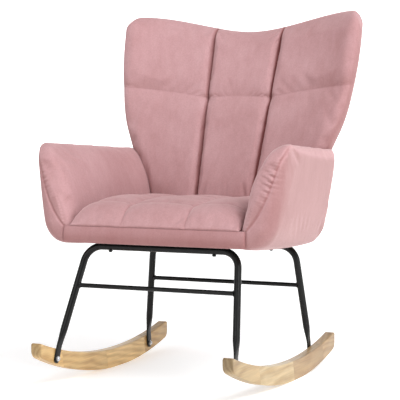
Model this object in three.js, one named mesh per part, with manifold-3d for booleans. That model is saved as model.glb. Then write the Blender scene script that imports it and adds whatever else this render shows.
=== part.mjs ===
// Upholstered wing-back rocking chair: two wooden rockers, a bent steel tube under-frame, a timber seat frame
// and quilted velvet upholstery. Millimetres, +Z up. The chair faces -Y and +X is its left-hand side as one
// sits in it. Heights count from the floor, and lengths along Y count from the point the rockers stand on.
import * as THREE from 'three';
import { mergeVertices } from 'three/addons/utils/BufferGeometryUtils.js';
import Module from 'manifold-3d';

// ---- Driving dimensions -------------------------------------------------------------------------------

const gap = 0.3; // clearance between pieces that touch

// Rockers: bent planks of finger-jointed wood
const rockerTrack = 538; // between the planks' middles
const rockerThickness = 28;
const rockerHeight = 53; // at the lowest point
const rockerFrontReach = 444;
const rockerRearReach = 306;
const soleRadius = 1130;
const rockerTopRadius = 1370;
const restLength = 90; // short flat on the sole that the chair settles on
const plankEdge = 2.5; // eased long edges
const tipRoundTop = 7;
const tipRoundSole = 17; // the sole's round at the tips: its length
const tipSoleRise = 24; // and its height

// Under-frame: two bent tubes with a stretcher across each
const legTube = 19;
const legBend = 48; // centreline radius at the top corners
const frontCorner = { halfWidth: 217, y: -254.5, z: 364.5 };
const rearCorner = { halfWidth: 220, y: 141, z: 346 };
const frontFoot = { y: -364, z: 75 }; // rocker bolts
const rearFoot = { y: 176, z: 38.5 };
const tongueThickness = 5.2;
const tongueWidth = 24;
const tongueTip = 0.14; // width of the tongue's very end, as a share
const tongueRise = 34; // from the bolt to the start of the flattening
const tongueSquareness = 0.55; // roundness of the tongue's corners: 1 would be an ellipse
const flatteningLength = 52;
const stretcherTube = 12;
const frontStretcherHeight = 262.5;
const rearStretcherHeight = 236.5;

// Fasteners
const boltThread = 6;
const boltHole = 6.8;
const boltHeadWidth = 11;
const boltHeadTopWidth = 8;
const boltHeadEdge = 1.8;
const boltSocketWidth = 4.4;
const boltSocketDepth = 2;
const boltPoint = 1;
const rockerBoltHeadHeight = 3.6;
const washerWidth = 14;
const washerThickness = 1.2;
const insertWidth = 9.5;
const insertLength = 15;
const rockerBoltGrip = 14; // thread in the insert
const seatBoltSpread = 150; // half the distance between the bolts of one rail
const seatBoltHeadHeight = 5;
const seatBoltSetback = 4; // from the bolt's end to the nut's flange
const teeNutFlange = 19;
const teeNutFlangeThickness = 1.6;
const teeNutBarrel = 7.8;
const teeNutBore = 6.4;
const teeNutLength = 10;

// Seat frame
const timberHeight = 30;
const frontTimberDepth = 60;
const rearTimberDepth = 58;
const sideTimberWidth = 32;
const deckThickness = 9;
const dustCoverThickness = 1;
const dustCoverInset = 6;

// Seat upholstery
const seatHalfWidthFront = 243; // inside the arms
const seatHalfWidthRear = 215;
const seatFront = -312;
const seatFrontSeam = 421; // height of the seam above the front band
const seatLine = [[0, 424], [14, 442], [34, 459], [58, 470], [79, 474], [162, 479], [260, 478], [372, 472],
  [442, 464]]; // distance behind the front seam and height, along the channels
const seatSideLine = [[0, 422], [79, 446], [162, 452], [442, 452]]; // and along the sides
const seatChannel = 91; // half the distance between the lengthwise channels
const seatCrossFront = -233;
const seatCrossRear = -52;
const seatPuff = 13;
const seatChannelPuff = 0.35; // share of the puff left over the cross channels
const seatEdgeShare = 0.45; // share of the outer lobes that slopes to the sides
const frontBandDepth = 24;
const frontBandHalfLength = 258;
const frontBandPuff = 5;
const frontBandEdge = 4;

// Arms
const armTop = 646;
const armTopDrop = 24; // from front to rear
const armOuterHalf = 365; // half the width over the arms at the front
const armRearTaper = 43; // how far the outer side runs in towards the rear
const armLean = 52; // how far the outer side leans out
const armLeanPower = 0.6; // below 1 it leans most at its foot
const armSoleRound = 36;
const armHang = 8; // how far the arm's sole bellies below the rails midway
const armRear = 220;
const armFrontLean = 14; // how far the arm's front edge runs back as it rises
const armFrontRound = 31;
const armFrontRoundDepth = 42;
const armInnerRound = 17;
const armInnerRoundDepth = 22;
const armRearRound = 45;
const armCrestRound = 11;
const armFrontDrop = 0.06; // share of the height lost at the rounded ends
const armRearDrop = 0.09;
const armStraightShare = 0.17; // up to here the inner side stands straight beside the seat frame
const armSoleShare = 0.2;
const armCrestShare = 0.15;
const armEvenLean = 0.36; // share of the inner side's lean that is even; the rest flares out at the top
const armFlare = 2.6;
const armThinSole = 16; // least width of the arm's ends at the foot and at the crest
const armThinCrest = 3;
const armPanelThickness = 12;
const armPanelInset = 4; // padding between the board's foot and the seat frame
const armPanelTop = 0.76; // share of the arm's height
const armSlotRoom = 1.2; // sideways room of the leaning slot, in gaps
const armSlotMouth = 0.05; // how far the slot runs on below the board, as a share of its height

// Back
const backFoot = 150; // where the back's front face meets the seat frame
const backRake = 0.398; // run per rise above the seat
const backRakeStart = 465;
const backChannel = { low: 88, high: 107 }; // half the distance between the channels
const backSeamHeight = 761; // at the tufts
const backSeamRiseMiddle = 8;
const backSeamRiseEdge = 37;
const backPuff = 20;
const backThickness = 50; // from the channels to the rear
const backFootThickness = 68;
const backThinningRise = 150; // height over which the foot thins
const backPanelSetback = 18;
const backPanelThickness = 10;
const backArmRoom = 1.3; // room between back and arms, in gaps
const backPanelReach = 1.8; // limit of the board in the grid of the back, out of 2
const backPocketRoom = 0.03; // round the board, on the same grid
const backHem = 1; // thickness of the upholstery at the rim
const backTurn = 40; // how softly the back turns from upright to raked
const backChannelStart = 490; // below this the channels run straight up
const quiltSideRound = 0.32; // round of the wing lobes beside the channels, on the grid
const quiltRoundBelow = 0.16; // round of the lobes below and above the cross seam
const quiltRoundAbove = 0.2;
const quiltSeamPuff = 0.68; // share of the puff left over the cross seam
const channelShare = 0.3; // the channels' place across the top edge
const wingStart = 618; // height where the wings leave the arms
const wrapStart = 410;
const wingWrapPower = 2.1;
const wingWrapAtArm = 36; // how far the wings come forward
const wingWrapSlope = 0.176;
const backEdgeRound = 34;
const backWidths = [[345, 225], [465, 246], [560, 284], [618, 309], [700, 341], [798, 360], [900, 370],
  [1010, 371]]; // height and half width
const backTopMiddle = 961;
const backTopWing = 1009;
const wingPeakShare = 0.9; // of the half width
const wingShoulder = 60; // how far the top falls away outside the peak

const colours = {
  velvet: 0xcf9c9c,
  wood: 0xdcb98a,
  steel: 0x232323,
  zinc: 0xb9bcc0,
  pine: 0xd9bf94,
  ply: 0xc9a777,
  fleece: 0x1c1c1c,
};

// ---- Solids -------------------------------------------------------------------------------------------

const wasm = await Module();
wasm.setup();

const chair = new THREE.Group();

function finish(colour, roughness, metalness) {
  return new THREE.MeshStandardMaterial({ color: colour, roughness, metalness });
}

const velvet = () => finish(colours.velvet, 0.9, 0);
const wood = () => finish(colours.wood, 0.55, 0);
const steel = () => finish(colours.steel, 0.4, 0.6);
const zinc = () => finish(colours.zinc, 0.3, 0.9);
const pine = () => finish(colours.pine, 0.75, 0);
const ply = () => finish(colours.ply, 0.75, 0);
const fleece = () => finish(colours.fleece, 0.95, 0);

function add(name, geometry, material, parent = chair) {
  const mesh = new THREE.Mesh(geometry, material);
  mesh.name = name;
  parent.add(mesh);
  return mesh;
}

// A closed mesh as a manifold solid
function toSolid(geometry) {
  const bare = geometry.clone();
  bare.deleteAttribute('normal');
  bare.deleteAttribute('uv');
  const merged = mergeVertices(bare, 1e-4);
  const mesh = new wasm.Mesh({
    numProp: 3,
    vertProperties: new Float32Array(merged.attributes.position.array),
    triVerts: new Uint32Array(merged.index.array),
  });
  return new wasm.Manifold(mesh);
}

function toGeometry(solid) {
  const mesh = solid.getMesh();
  const geometry = new THREE.BufferGeometry();
  geometry.setAttribute('position', new THREE.BufferAttribute(new Float32Array(mesh.vertProperties), 3));
  geometry.setIndex(new THREE.BufferAttribute(new Uint32Array(mesh.triVerts), 1));
  return geometry;
}

// A body with tools cut from it; offcuts fall away
function cut(body, ...tools) {
  const rest = tools.reduce((solid, tool) => solid.subtract(toSolid(tool)), toSolid(body));
  return toGeometry(rest.decompose().sort((a, b) => b.volume() - a.volume())[0]);
}

// Triangles of a closed surface, turned so that they all face outwards
function closedGeometry(points, triangles) {
  const a = new THREE.Vector3();
  let volume = 0;
  for (const [i, j, k] of triangles) {
    volume += a.crossVectors(points[i], points[j]).dot(points[k]);
  }
  const facing = volume > 0 ? triangles : triangles.map(([i, j, k]) => [i, k, j]);
  const geometry = new THREE.BufferGeometry().setFromPoints(points);
  geometry.setIndex(facing.flat());
  return geometry;
}

// A skin through rings of equally many points, closed with a fan at each end
function loft(rings) {
  const count = rings[0].length;
  const points = rings.flat();
  const triangles = [];
  for (let r = 0; r + 1 < rings.length; r++) {
    for (let i = 0; i < count; i++) {
      const j = (i + 1) % count;
      const a = r * count + i;
      const b = r * count + j;
      triangles.push([a, b, b + count], [a, b + count, a + count]);
    }
  }
  for (const [start, order] of [[0, 1], [(rings.length - 1) * count, -1]]) {
    const middle = new THREE.Vector3();
    for (let i = 0; i < count; i++) {
      middle.addScaledVector(points[start + i], 1 / count);
    }
    points.push(middle);
    const hub = points.length - 1;
    for (let i = 0; i < count; i++) {
      const j = (i + 1) % count;
      triangles.push(order > 0 ? [start + j, start + i, hub] : [start + i, start + j, hub]);
    }
  }
  return closedGeometry(points, triangles);
}

// A closed sheet between two surfaces over one outline: face(u, v) at every line, lining(u, v) at every
// line or, with a stride of 2, at every second one
function pad(face, lining, us, vs, stride = 2) {
  const points = [];
  const triangles = [];
  const layer = (surface, columns, rows, flip) => {
    const start = points.length;
    const at = (i, j) => start + j * columns.length + i;
    for (const v of rows) {
      for (const u of columns) {
        points.push(surface(u, v));
      }
    }
    for (let j = 0; j + 1 < rows.length; j++) {
      for (let i = 0; i + 1 < columns.length; i++) {
        const [a, b, c, d] = [at(i, j), at(i + 1, j), at(i + 1, j + 1), at(i, j + 1)];
        triangles.push(...(flip ? [[a, c, b], [a, d, c]] : [[a, b, c], [a, c, d]]));
      }
    }
    const [m, n] = [columns.length - 1, rows.length - 1];
    const rim = [];
    for (let i = 0; i < m; i++) rim.push(at(i, 0));
    for (let j = 0; j < n; j++) rim.push(at(m, j));
    for (let i = m; i > 0; i--) rim.push(at(i, n));
    for (let j = n; j > 0; j--) rim.push(at(0, j));
    return rim;
  };
  const sparse = (lines) => lines.filter((_, i) => i % stride === 0);
  const outer = layer(face, us, vs, false);
  const inner = layer(lining, sparse(us), sparse(vs), true);
  for (let k = 0; k < inner.length; k++) {
    const [p, q] = [inner[k], inner[(k + 1) % inner.length]];
    const run = [];
    for (let i = 0; i <= stride; i++) run.push(outer[(stride * k + i) % outer.length]);
    triangles.push([run[0], p, q]);
    for (let i = 0; i < stride; i++) triangles.push([run[i + 1], run[i], q]);
  }
  return closedGeometry(points, triangles);
}

// A prism of an outline in the YZ plane, from x = low to x = high
function prismAcross(outline, low, high) {
  const geometry = new THREE.ExtrudeGeometry(outline, { depth: high - low, bevelEnabled: false });
  geometry.applyMatrix4(new THREE.Matrix4().makeBasis(
    new THREE.Vector3(0, 1, 0), new THREE.Vector3(0, 0, 1), new THREE.Vector3(1, 0, 0)));
  return geometry.translate(low, 0, 0);
}

function lathe(profile, segments = 16) {
  return new THREE.LatheGeometry(profile.map(([r, y]) => new THREE.Vector2(r, y)), segments);
}

function drill(diameter, from, to) {
  const axis = to.clone().sub(from);
  const geometry = new THREE.CylinderGeometry(diameter / 2, diameter / 2, axis.length(), 16);
  const up = new THREE.Vector3(0, 1, 0);
  geometry.applyQuaternion(new THREE.Quaternion().setFromUnitVectors(up, axis.clone().normalize()));
  return geometry.translate(...from.clone().add(to).multiplyScalar(0.5).toArray());
}

const mix = (a, b, t) => a + (b - a) * t;
const clamp = (t, low = 0, high = 1) => Math.min(high, Math.max(low, t));
const ease = (t) => clamp(t) ** 2 * (3 - 2 * clamp(t));
const quarter = (t) => 1 - Math.sqrt(1 - (1 - clamp(t)) ** 2); // quarter-round: 1 at 0, falling to 0 at 1
const dome = (t) => Math.sqrt(Math.max(0, 1 - t * t)); // half-round: 1 at 0, 0 at -1 and 1

const mirrored = (columns) => [...columns.slice(1).reverse().map((s) => -s), ...columns];

// A smooth line through [place, value] pairs
function through(pairs) {
  return (place) => {
    const last = pairs.length - 1;
    let k = 0;
    while (k < last - 1 && place > pairs[k + 1][0]) k++;
    const slope = (i) => {
      const [a, b] = [pairs[Math.max(0, i - 1)], pairs[Math.min(last, i + 1)]];
      return (b[1] - a[1]) / (b[0] - a[0]);
    };
    const [x0, y0] = pairs[k];
    const [x1, y1] = pairs[k + 1];
    const h = x1 - x0;
    const t = clamp((place - x0) / h);
    const [s0, s1] = [slope(k) * h, slope(k + 1) * h];
    return (2 * t ** 3 - 3 * t ** 2 + 1) * y0 + (t ** 3 - 2 * t ** 2 + t) * s0
      + (3 * t ** 2 - 2 * t ** 3) * y1 + (t ** 3 - t ** 2) * s1;
  };
}

// ---- Seat plane: the tilted plane on top of both rails --------------------------------------------------

const railTopFront = frontCorner.z + legTube / 2 + gap;
const railTopRear = rearCorner.z + legTube / 2 + gap;
const seatTilt = Math.atan((railTopFront - railTopRear) / (rearCorner.y - frontCorner.y));
const undersideAt = (y) => railTopFront - Math.tan(seatTilt) * (y - frontCorner.y);

// Pieces of the seat frame lie in this group: its y runs back along the plane, its z stands square to it
const seatGroup = new THREE.Group();
seatGroup.position.set(0, frontCorner.y, railTopFront);
seatGroup.rotation.x = -seatTilt;
chair.add(seatGroup);

const alongSeat = (y) => (y - frontCorner.y) / Math.cos(seatTilt);
const timberBase = dustCoverThickness + gap;
const deckBase = timberBase + timberHeight + gap;
const deckTopAt = (y) => undersideAt(y) + (deckBase + deckThickness) / Math.cos(seatTilt);
const timberFrontEdge = seatFront + frontBandDepth + gap;
const timberRearEdge = backFoot + backPanelSetback - gap - (deckBase + deckThickness) * Math.sin(seatTilt);

// Half the width between the arms at a place along the seat
const armShare = (y) => (y - seatFront) / (armRear - seatFront);
const seatHalfWidth = (y) => mix(seatHalfWidthFront, seatHalfWidthRear, armShare(y));

// ---- Rockers --------------------------------------------------------------------------------------------

const rockerInnerFace = (rockerTrack - rockerThickness) / 2;
const flatSag = soleRadius - Math.sqrt(soleRadius ** 2 - (restLength / 2) ** 2);
const soleAt = (y) => Math.max(0, soleRadius - Math.sqrt(soleRadius ** 2 - y * y) - flatSag);
const rockerTopAt = (y) => rockerHeight + rockerTopRadius - Math.sqrt(rockerTopRadius ** 2 - y * y);

function rockerOutline() {
  const shape = new THREE.Shape();
  const steps = 22;
  const pitch = (rockerFrontReach + rockerRearReach - restLength) / steps;
  const sole = [];
  for (let y = -rockerFrontReach + tipRoundSole; y < -restLength / 2 - pitch / 2; y += pitch) sole.push(y);
  sole.push(-restLength / 2);
  for (let y = restLength / 2; y < rockerRearReach - tipRoundSole - pitch / 2; y += pitch) sole.push(y);
  sole.push(rockerRearReach - tipRoundSole);
  shape.moveTo(sole[0], soleAt(sole[0]));
  for (const y of sole.slice(1)) shape.lineTo(y, soleAt(y));
  const roundTip = (end, direction) => {
    const soleStart = soleAt(end - direction * tipRoundSole);
    const top = rockerTopAt(end - direction * tipRoundTop);
    if (direction > 0) {
      shape.quadraticCurveTo(end, soleAt(end), end, soleStart + tipSoleRise);
      shape.lineTo(end, top - tipRoundTop);
      shape.quadraticCurveTo(end, top, end - tipRoundTop, top);
    } else {
      shape.lineTo(end + tipRoundTop, top);
      shape.quadraticCurveTo(end, top, end, top - tipRoundTop);
      shape.lineTo(end, soleStart + tipSoleRise);
      shape.quadraticCurveTo(end, soleAt(end), end + tipRoundSole, soleStart);
    }
  };
  roundTip(rockerRearReach, 1);
  const topStart = rockerRearReach - tipRoundTop;
  const topEnd = -rockerFrontReach + tipRoundTop;
  for (let k = 1; k < steps; k++) {
    const y = mix(topStart, topEnd, k / steps);
    shape.lineTo(y, rockerTopAt(y));
  }
  roundTip(-rockerFrontReach, -1);
  return shape;
}

function rocker(side) {
  const plank = new THREE.ExtrudeGeometry(rockerOutline(), {
    depth: rockerThickness - 2 * plankEdge,
    curveSegments: 3,
    bevelEnabled: true,
    bevelThickness: plankEdge,
    bevelSize: plankEdge,
    bevelOffset: -plankEdge,
    bevelSegments: 1,
  });
  plank.applyMatrix4(new THREE.Matrix4().makeBasis(
    new THREE.Vector3(0, 1, 0), new THREE.Vector3(0, 0, 1), new THREE.Vector3(1, 0, 0)));
  plank.translate((side * rockerTrack - rockerThickness) / 2 + plankEdge, 0, 0);
  const bores = [frontFoot, rearFoot].map(({ y, z }) => drill(
    insertWidth + 2 * gap,
    new THREE.Vector3(side * (rockerInnerFace - 1), y, z),
    new THREE.Vector3(side * (rockerInnerFace + insertLength + 2 * gap), y, z)));
  return cut(plank, ...bores);
}

// ---- Under-frame ----------------------------------------------------------------------------------------

// A corner with the given radius: points from the tangent point on the way in to the one on the way out
function roundedCorner(before, corner, after, radius, steps) {
  const a = before.clone().sub(corner).normalize();
  const b = after.clone().sub(corner).normalize();
  const half = a.angleTo(b) / 2;
  const bisector = a.clone().add(b).normalize();
  const centre = corner.clone().addScaledVector(bisector, radius / Math.sin(half));
  const first = corner.clone().addScaledVector(a, radius / Math.tan(half)).sub(centre);
  const last = corner.clone().addScaledVector(b, radius / Math.tan(half)).sub(centre);
  const sweep = first.angleTo(last);
  const points = [];
  for (let k = 0; k <= steps; k++) {
    const t = k / steps;
    points.push(centre.clone()
      .addScaledVector(first, Math.sin((1 - t) * sweep) / Math.sin(sweep))
      .addScaledVector(last, Math.sin(t * sweep) / Math.sin(sweep)));
  }
  return points;
}

const tongueMiddle = rockerInnerFace - gap - tongueThickness / 2;

// The line of a left leg: the corner of its frame, the rocker bolt and the top of the flattened tongue
function legLine(corner, foot) {
  const top = new THREE.Vector3(corner.halfWidth, corner.y, corner.z);
  const bolt = new THREE.Vector3(tongueMiddle, foot.y, foot.z);
  const up = new THREE.Vector3(0, corner.y - foot.y, corner.z - foot.z).normalize();
  return { top, bolt, up, tongueTop: bolt.clone().addScaledVector(up, tongueRise) };
}

// One leg's centreline, from the rounded end of its flattened tongue up to the tangent point of the top bend,
// with the half sizes of the section across (x) and along (n) the chair and how square it is
function legStations(corner, foot, side) {
  const { top, bolt, up, tongueTop } = legLine(corner, foot);
  const roundStart = tongueTop.clone().lerp(top, flatteningLength / tongueTop.distanceTo(top));
  const stations = [];
  const station = (at, thickness, width, square) => {
    stations.push({ at: at.clone().setX(side * at.x), x: thickness / 2, n: width / 2, square });
  };
  for (const share of [-1, -0.88, -0.5, 0]) {
    const width = tongueWidth * Math.max(dome(share), tongueTip);
    station(bolt.clone().addScaledVector(up, share * tongueWidth / 2), tongueThickness, width, 1);
  }
  station(tongueTop, tongueThickness, tongueWidth, 1);
  for (const t of [0.35, 0.7]) {
    const at = tongueTop.clone().lerp(roundStart, t);
    station(at, mix(tongueThickness, legTube, ease(t)), mix(tongueWidth, legTube, ease(t)), 1 - ease(t));
  }
  station(roundStart, legTube, legTube, 0);
  for (const at of roundedCorner(roundStart, top, top.clone().setX(0), legBend, 6)) {
    station(at, legTube, legTube, 0);
  }
  return stations;
}

// A bent tube swept through stations; its bends all lie in the plane square to the given normal
function bentTube(stations, normal, sides = 14) {
  const rings = stations.map((station, k) => {
    const before = stations[Math.max(0, k - 1)].at;
    const after = stations[Math.min(stations.length - 1, k + 1)].at;
    const run = after.clone().sub(before).normalize();
    const across = new THREE.Vector3().crossVectors(normal, run).normalize();
    const flat = new THREE.Vector3(Math.sign(across.x || 1), 0, 0);
    const thin = across.clone().lerp(flat, station.square).normalize();
    const power = mix(1, tongueSquareness, station.square);
    const ring = [];
    for (let i = 0; i < sides; i++) {
      const angle = (2 * Math.PI * i) / sides;
      const [c, s] = [Math.cos(angle), Math.sin(angle)];
      ring.push(station.at.clone()
        .addScaledVector(thin, station.x * Math.sign(c) * Math.abs(c) ** power)
        .addScaledVector(normal, station.n * Math.sign(s) * Math.abs(s) ** power));
    }
    return ring;
  });
  return loft(rings);
}

function legFrame(corner, foot) {
  const normal = new THREE.Vector3(0, corner.z - foot.z, foot.y - corner.y).normalize();
  const left = legStations(corner, foot, -1);
  const right = legStations(corner, foot, 1).reverse();
  const tube = bentTube([...left, ...right], normal);
  const reach = 2 * tongueThickness;
  const holes = [-1, 1].map((side) => drill(
    boltHole,
    new THREE.Vector3(side * (tongueMiddle - reach), foot.y, foot.z),
    new THREE.Vector3(side * (tongueMiddle + reach), foot.y, foot.z)));
  const square = new THREE.Vector3(0, Math.sin(seatTilt), Math.cos(seatTilt));
  for (const side of [-1, 1]) {
    const seat = new THREE.Vector3(side * seatBoltSpread, corner.y, undersideAt(corner.y));
    holes.push(drill(boltHole, seat.clone().addScaledVector(square, -1.5 * legTube), seat));
  }
  return cut(tube, ...holes);
}

// A stretcher between the legs at one height, its ends coped to the round of the legs
function stretcher(corner, foot, height) {
  const { top, tongueTop } = legLine(corner, foot);
  const end = top.clone().lerp(tongueTop, (top.z - height) / (top.z - tongueTop.z));
  const across = new THREE.Vector3(-1, 1, 1);
  const rod = drill(stretcherTube, end.clone().multiply(across), end);
  const leg = drill(legTube + 2 * gap, tongueTop, top);
  const otherLeg = drill(legTube + 2 * gap, tongueTop.clone().multiply(across), top.clone().multiply(across));
  return cut(rod, leg, otherLeg);
}

// ---- Fasteners ------------------------------------------------------------------------------------------

// Profiles turn about Y; a bolt's head seats at y = 0 and its shank points along +Y
function boltSolid(headHeight, length) {
  const socket = boltSocketWidth / 2;
  const shank = boltThread / 2;
  const socketFloor = boltSocketDepth - headHeight;
  return lathe([[0, socketFloor], [socket, socketFloor], [socket, -headHeight],
    [boltHeadTopWidth / 2, -headHeight], [boltHeadWidth / 2, -boltHeadEdge], [boltHeadWidth / 2, 0],
    [shank, 0], [shank, length - boltPoint], [shank - boltPoint, length], [0, length]]);
}

function ringSolid(outer, inner, low, high) {
  return lathe([[inner / 2, low], [outer / 2, low], [outer / 2, high], [inner / 2, high], [inner / 2, low]]);
}

function teeNut() {
  const [bore, barrel, flange] = [teeNutBore / 2, teeNutBarrel / 2, teeNutFlange / 2];
  return lathe([[bore, 0], [bore, -teeNutLength], [barrel, -teeNutLength], [barrel, -teeNutFlangeThickness],
    [flange, -teeNutFlangeThickness], [flange, 0], [bore, 0]]);
}

function addRockerFasteners() {
  const washerSeat = tongueMiddle - tongueThickness / 2 - gap;
  const boltLength = washerThickness + tongueThickness + 3 * gap + rockerBoltGrip;
  for (const [end, foot] of [['front', frontFoot], ['rear', rearFoot]]) {
    for (const [hand, side] of [['right', -1], ['left', 1]]) {
      const group = new THREE.Group();
      group.position.set(side * washerSeat, foot.y, foot.z);
      group.rotation.z = -side * Math.PI / 2;
      chair.add(group);
      const washer = ringSolid(washerWidth, boltHole, -washerThickness, 0);
      add(`rocker_washer_${end}_${hand}`, washer, zinc(), group);
      const bolt = boltSolid(rockerBoltHeadHeight, boltLength);
      add(`rocker_bolt_${end}_${hand}`, bolt, zinc(), group).position.y = -washerThickness - gap;
      const insert = ringSolid(insertWidth, boltHole, 0, insertLength);
      const insertMesh = add(`rocker_insert_${end}_${hand}`, insert, zinc(), group);
      insertMesh.position.y = rockerInnerFace - washerSeat + gap;
    }
  }
}

function addSeatFasteners() {
  const nutTop = timberBase + timberHeight;
  const boltLength = legTube + 2 * gap + nutTop - seatBoltSetback;
  for (const [end, corner] of [['front', frontCorner], ['rear', rearCorner]]) {
    for (const [hand, side] of [['right', -1], ['left', 1]]) {
      const group = new THREE.Group();
      group.position.set(side * seatBoltSpread, alongSeat(corner.y), 0);
      group.rotation.x = Math.PI / 2;
      seatGroup.add(group);
      const bolt = add(`seat_bolt_${end}_${hand}`, boltSolid(seatBoltHeadHeight, boltLength), steel(), group);
      bolt.position.y = -legTube - 2 * gap;
      add(`tee_nut_${end}_${hand}`, teeNut(), zinc(), group).position.y = nutTop;
    }
  }
}

// ---- Seat frame -----------------------------------------------------------------------------------------

function boardOf(corners, thickness) {
  const outline = new THREE.Shape(corners.map(([x, y]) => new THREE.Vector2(x, y)));
  return new THREE.ExtrudeGeometry(outline, { depth: thickness, bevelEnabled: false });
}

// A flat board in the seat group between two places along Y, as wide as the space between the arms
function seatBoard(yFront, yRear, inset, thickness) {
  const [front, rear] = [seatHalfWidth(yFront) - gap - inset, seatHalfWidth(yRear) - gap - inset];
  const [a, b] = [alongSeat(yFront), alongSeat(yRear)];
  return boardOf([[-front, a], [front, a], [rear, b], [-rear, b]], thickness);
}

// Bolt hole and counterbore for the tee nuts through a timber
function teeNutBores(corner) {
  return [-1, 1].flatMap((side) => {
    const at = (z) => new THREE.Vector3(side * seatBoltSpread, alongSeat(corner.y), z);
    return [
      drill(teeNutBarrel + 2 * gap, at(-1), at(timberHeight + 1)),
      drill(teeNutFlange + 2 * gap, at(timberHeight - teeNutFlangeThickness - gap), at(timberHeight + 1)),
    ];
  });
}

function addSeatFrame() {
  const frontEnd = timberFrontEdge + frontTimberDepth;
  const rearEnd = timberRearEdge - rearTimberDepth;
  const front = cut(seatBoard(timberFrontEdge, frontEnd, 0, timberHeight), ...teeNutBores(frontCorner));
  const rear = cut(seatBoard(rearEnd, timberRearEdge, 0, timberHeight), ...teeNutBores(rearCorner));
  add('seat_timber_front', front, pine(), seatGroup).position.z = timberBase;
  add('seat_timber_rear', rear, pine(), seatGroup).position.z = timberBase;
  for (const [hand, side] of [['right', -1], ['left', 1]]) {
    const [a, b] = [frontEnd + gap, rearEnd - gap];
    const corners = [[sideTimberWidth, a], [0, a], [0, b], [sideTimberWidth, b]];
    const outline = corners.map(([inward, y]) => [side * (seatHalfWidth(y) - gap - inward), alongSeat(y)]);
    add(`seat_timber_${hand}`, boardOf(outline, timberHeight), pine(), seatGroup).position.z = timberBase;
  }
  const deck = seatBoard(timberFrontEdge, timberRearEdge, 0, deckThickness);
  add('seat_deck', deck, ply(), seatGroup).position.z = deckBase;
  const [coverFront, coverRear] = [timberFrontEdge + dustCoverInset, timberRearEdge - dustCoverInset];
  const cover = seatBoard(coverFront, coverRear, dustCoverInset, dustCoverThickness);
  const holes = [frontCorner, rearCorner].flatMap((corner) => [-1, 1].map((side) => drill(
    boltHole,
    new THREE.Vector3(side * seatBoltSpread, alongSeat(corner.y), -1),
    new THREE.Vector3(side * seatBoltSpread, alongSeat(corner.y), dustCoverThickness + 1))));
  add('dust_cover', cut(cover, ...holes), fleece(), seatGroup);
}

// ---- Arms -----------------------------------------------------------------------------------------------

const armHeight = (t) => armTop - armTopDrop * t;

// The arm's two sides at its front, at shares of its height
function armInner(share) {
  const t = clamp((share - armStraightShare) / (1 - armStraightShare));
  const flare = 1 - Math.sqrt(1 - t ** armFlare);
  return mix(seatHalfWidthFront, armOuterHalf - armCrestRound, mix(flare, t, armEvenLean));
}

function armOuter(share) {
  const lean = armLean * (1 - share ** armLeanPower);
  return armOuterHalf - lean - armSoleRound * quarter(share / armSoleShare)
    - armCrestRound * quarter((1 - share) / armCrestShare);
}

// The arm's section at a share t of its length, rounded towards both ends and grown on all sides
function armSection(side, t, grow) {
  const length = armRear - seatFront;
  const depth = t * length;
  const front = quarter(depth / armFrontRoundDepth);
  const rear = quarter((length - depth) / armRearRound);
  const drop = armFrontDrop * front + armRearDrop * rear;
  const innerRound = armInnerRound * quarter(depth / armInnerRoundDepth);
  const innerShift = (seatHalfWidthRear - seatHalfWidthFront) * t + innerRound - grow;
  const outerShift = -armRearTaper * t - armFrontRound * front - armRearRound * rear + grow;
  const shares = [0, 0.09, 0.18, 0.3, 0.42, 0.54, 0.65, 0.75, 0.84, 0.91, 0.96];
  const place = (x, share) => {
    const y = mix(seatFront + armFrontLean * ease(share), armRear, t) + grow * (2 * t - 1);
    const foot = undersideAt(y) - armHang * Math.sqrt(Math.sin(Math.PI * t)) - grow;
    const z = mix(foot, armHeight(t) + grow, share * (1 - drop));
    return new THREE.Vector3(side * x, y, z);
  };
  const innerAt = (share) => armInner(share) + innerShift;
  const outerAt = (share) => Math.max(
    armOuter(share) + outerShift,
    innerAt(share) + mix(armThinSole, armThinCrest, share));
  const inner = shares.map((share) => place(innerAt(share), share));
  const outer = shares.map((share) => place(outerAt(share), share)).reverse();
  const crest = place((innerAt(1) + armOuter(1) + outerShift) / 2, 1);
  const sole = inner[0].clone().lerp(outer[outer.length - 1], 0.5);
  return [...inner, crest, ...outer, sole];
}

function armForm(side, grow = 0) {
  const stations = [0, 0.012, 0.03, 0.055, 0.085, 0.15, 0.3, 0.46, 0.62, 0.78, 0.9, 0.945, 0.975, 0.993, 1];
  return loft(stations.map((t) => armSection(side, t, grow)));
}

// The plywood board inside an arm, leaning out with it, or grown on all sides the slot that holds it
function armPanel(side, grow = 0) {
  const middle = (armInner(armPanelTop) + armOuter(armPanelTop) - armPanelThickness) / 2;
  const taper = (seatHalfWidthRear - seatHalfWidthFront - armRearTaper) / 2;
  const sheet = (offset) => (u, v) => {
    const y = mix(timberFrontEdge + frontTimberDepth, timberRearEdge - rearTimberDepth, u);
    const t = armShare(y);
    const x = mix(seatHalfWidth(y) + armPanelInset, middle + taper * t, v) + offset;
    const top = mix(undersideAt(y), armHeight(t), armPanelTop);
    return new THREE.Vector3(side * x, y + grow * (2 * u - 1), mix(undersideAt(y), top + grow, v));
  };
  const room = grow * armSlotRoom;
  const foot = grow > 0 ? -armSlotMouth : 0;
  return pad(sheet(-room), sheet(armPanelThickness + room), [0, 0.5, 1], [foot, mix(foot, 1, 0.5), 1]);
}

function addArms() {
  for (const [hand, side] of [['right', -1], ['left', 1]]) {
    add(`arm_panel_${hand}`, armPanel(side), ply());
    add(`arm_${hand}`, cut(armForm(side), armPanel(side, gap)), velvet());
  }
}

// ---- Seat cushion and the band under it -------------------------------------------------------------------

const seatRear = backFoot - backPuff + gap; // the cushion's rear edge stands against the back
const seatLineAt = through(seatLine);
const seatSideLineAt = through(seatSideLine);
const seatCrosses = [seatFront, seatCrossFront, seatCrossRear, seatRear];

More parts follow.
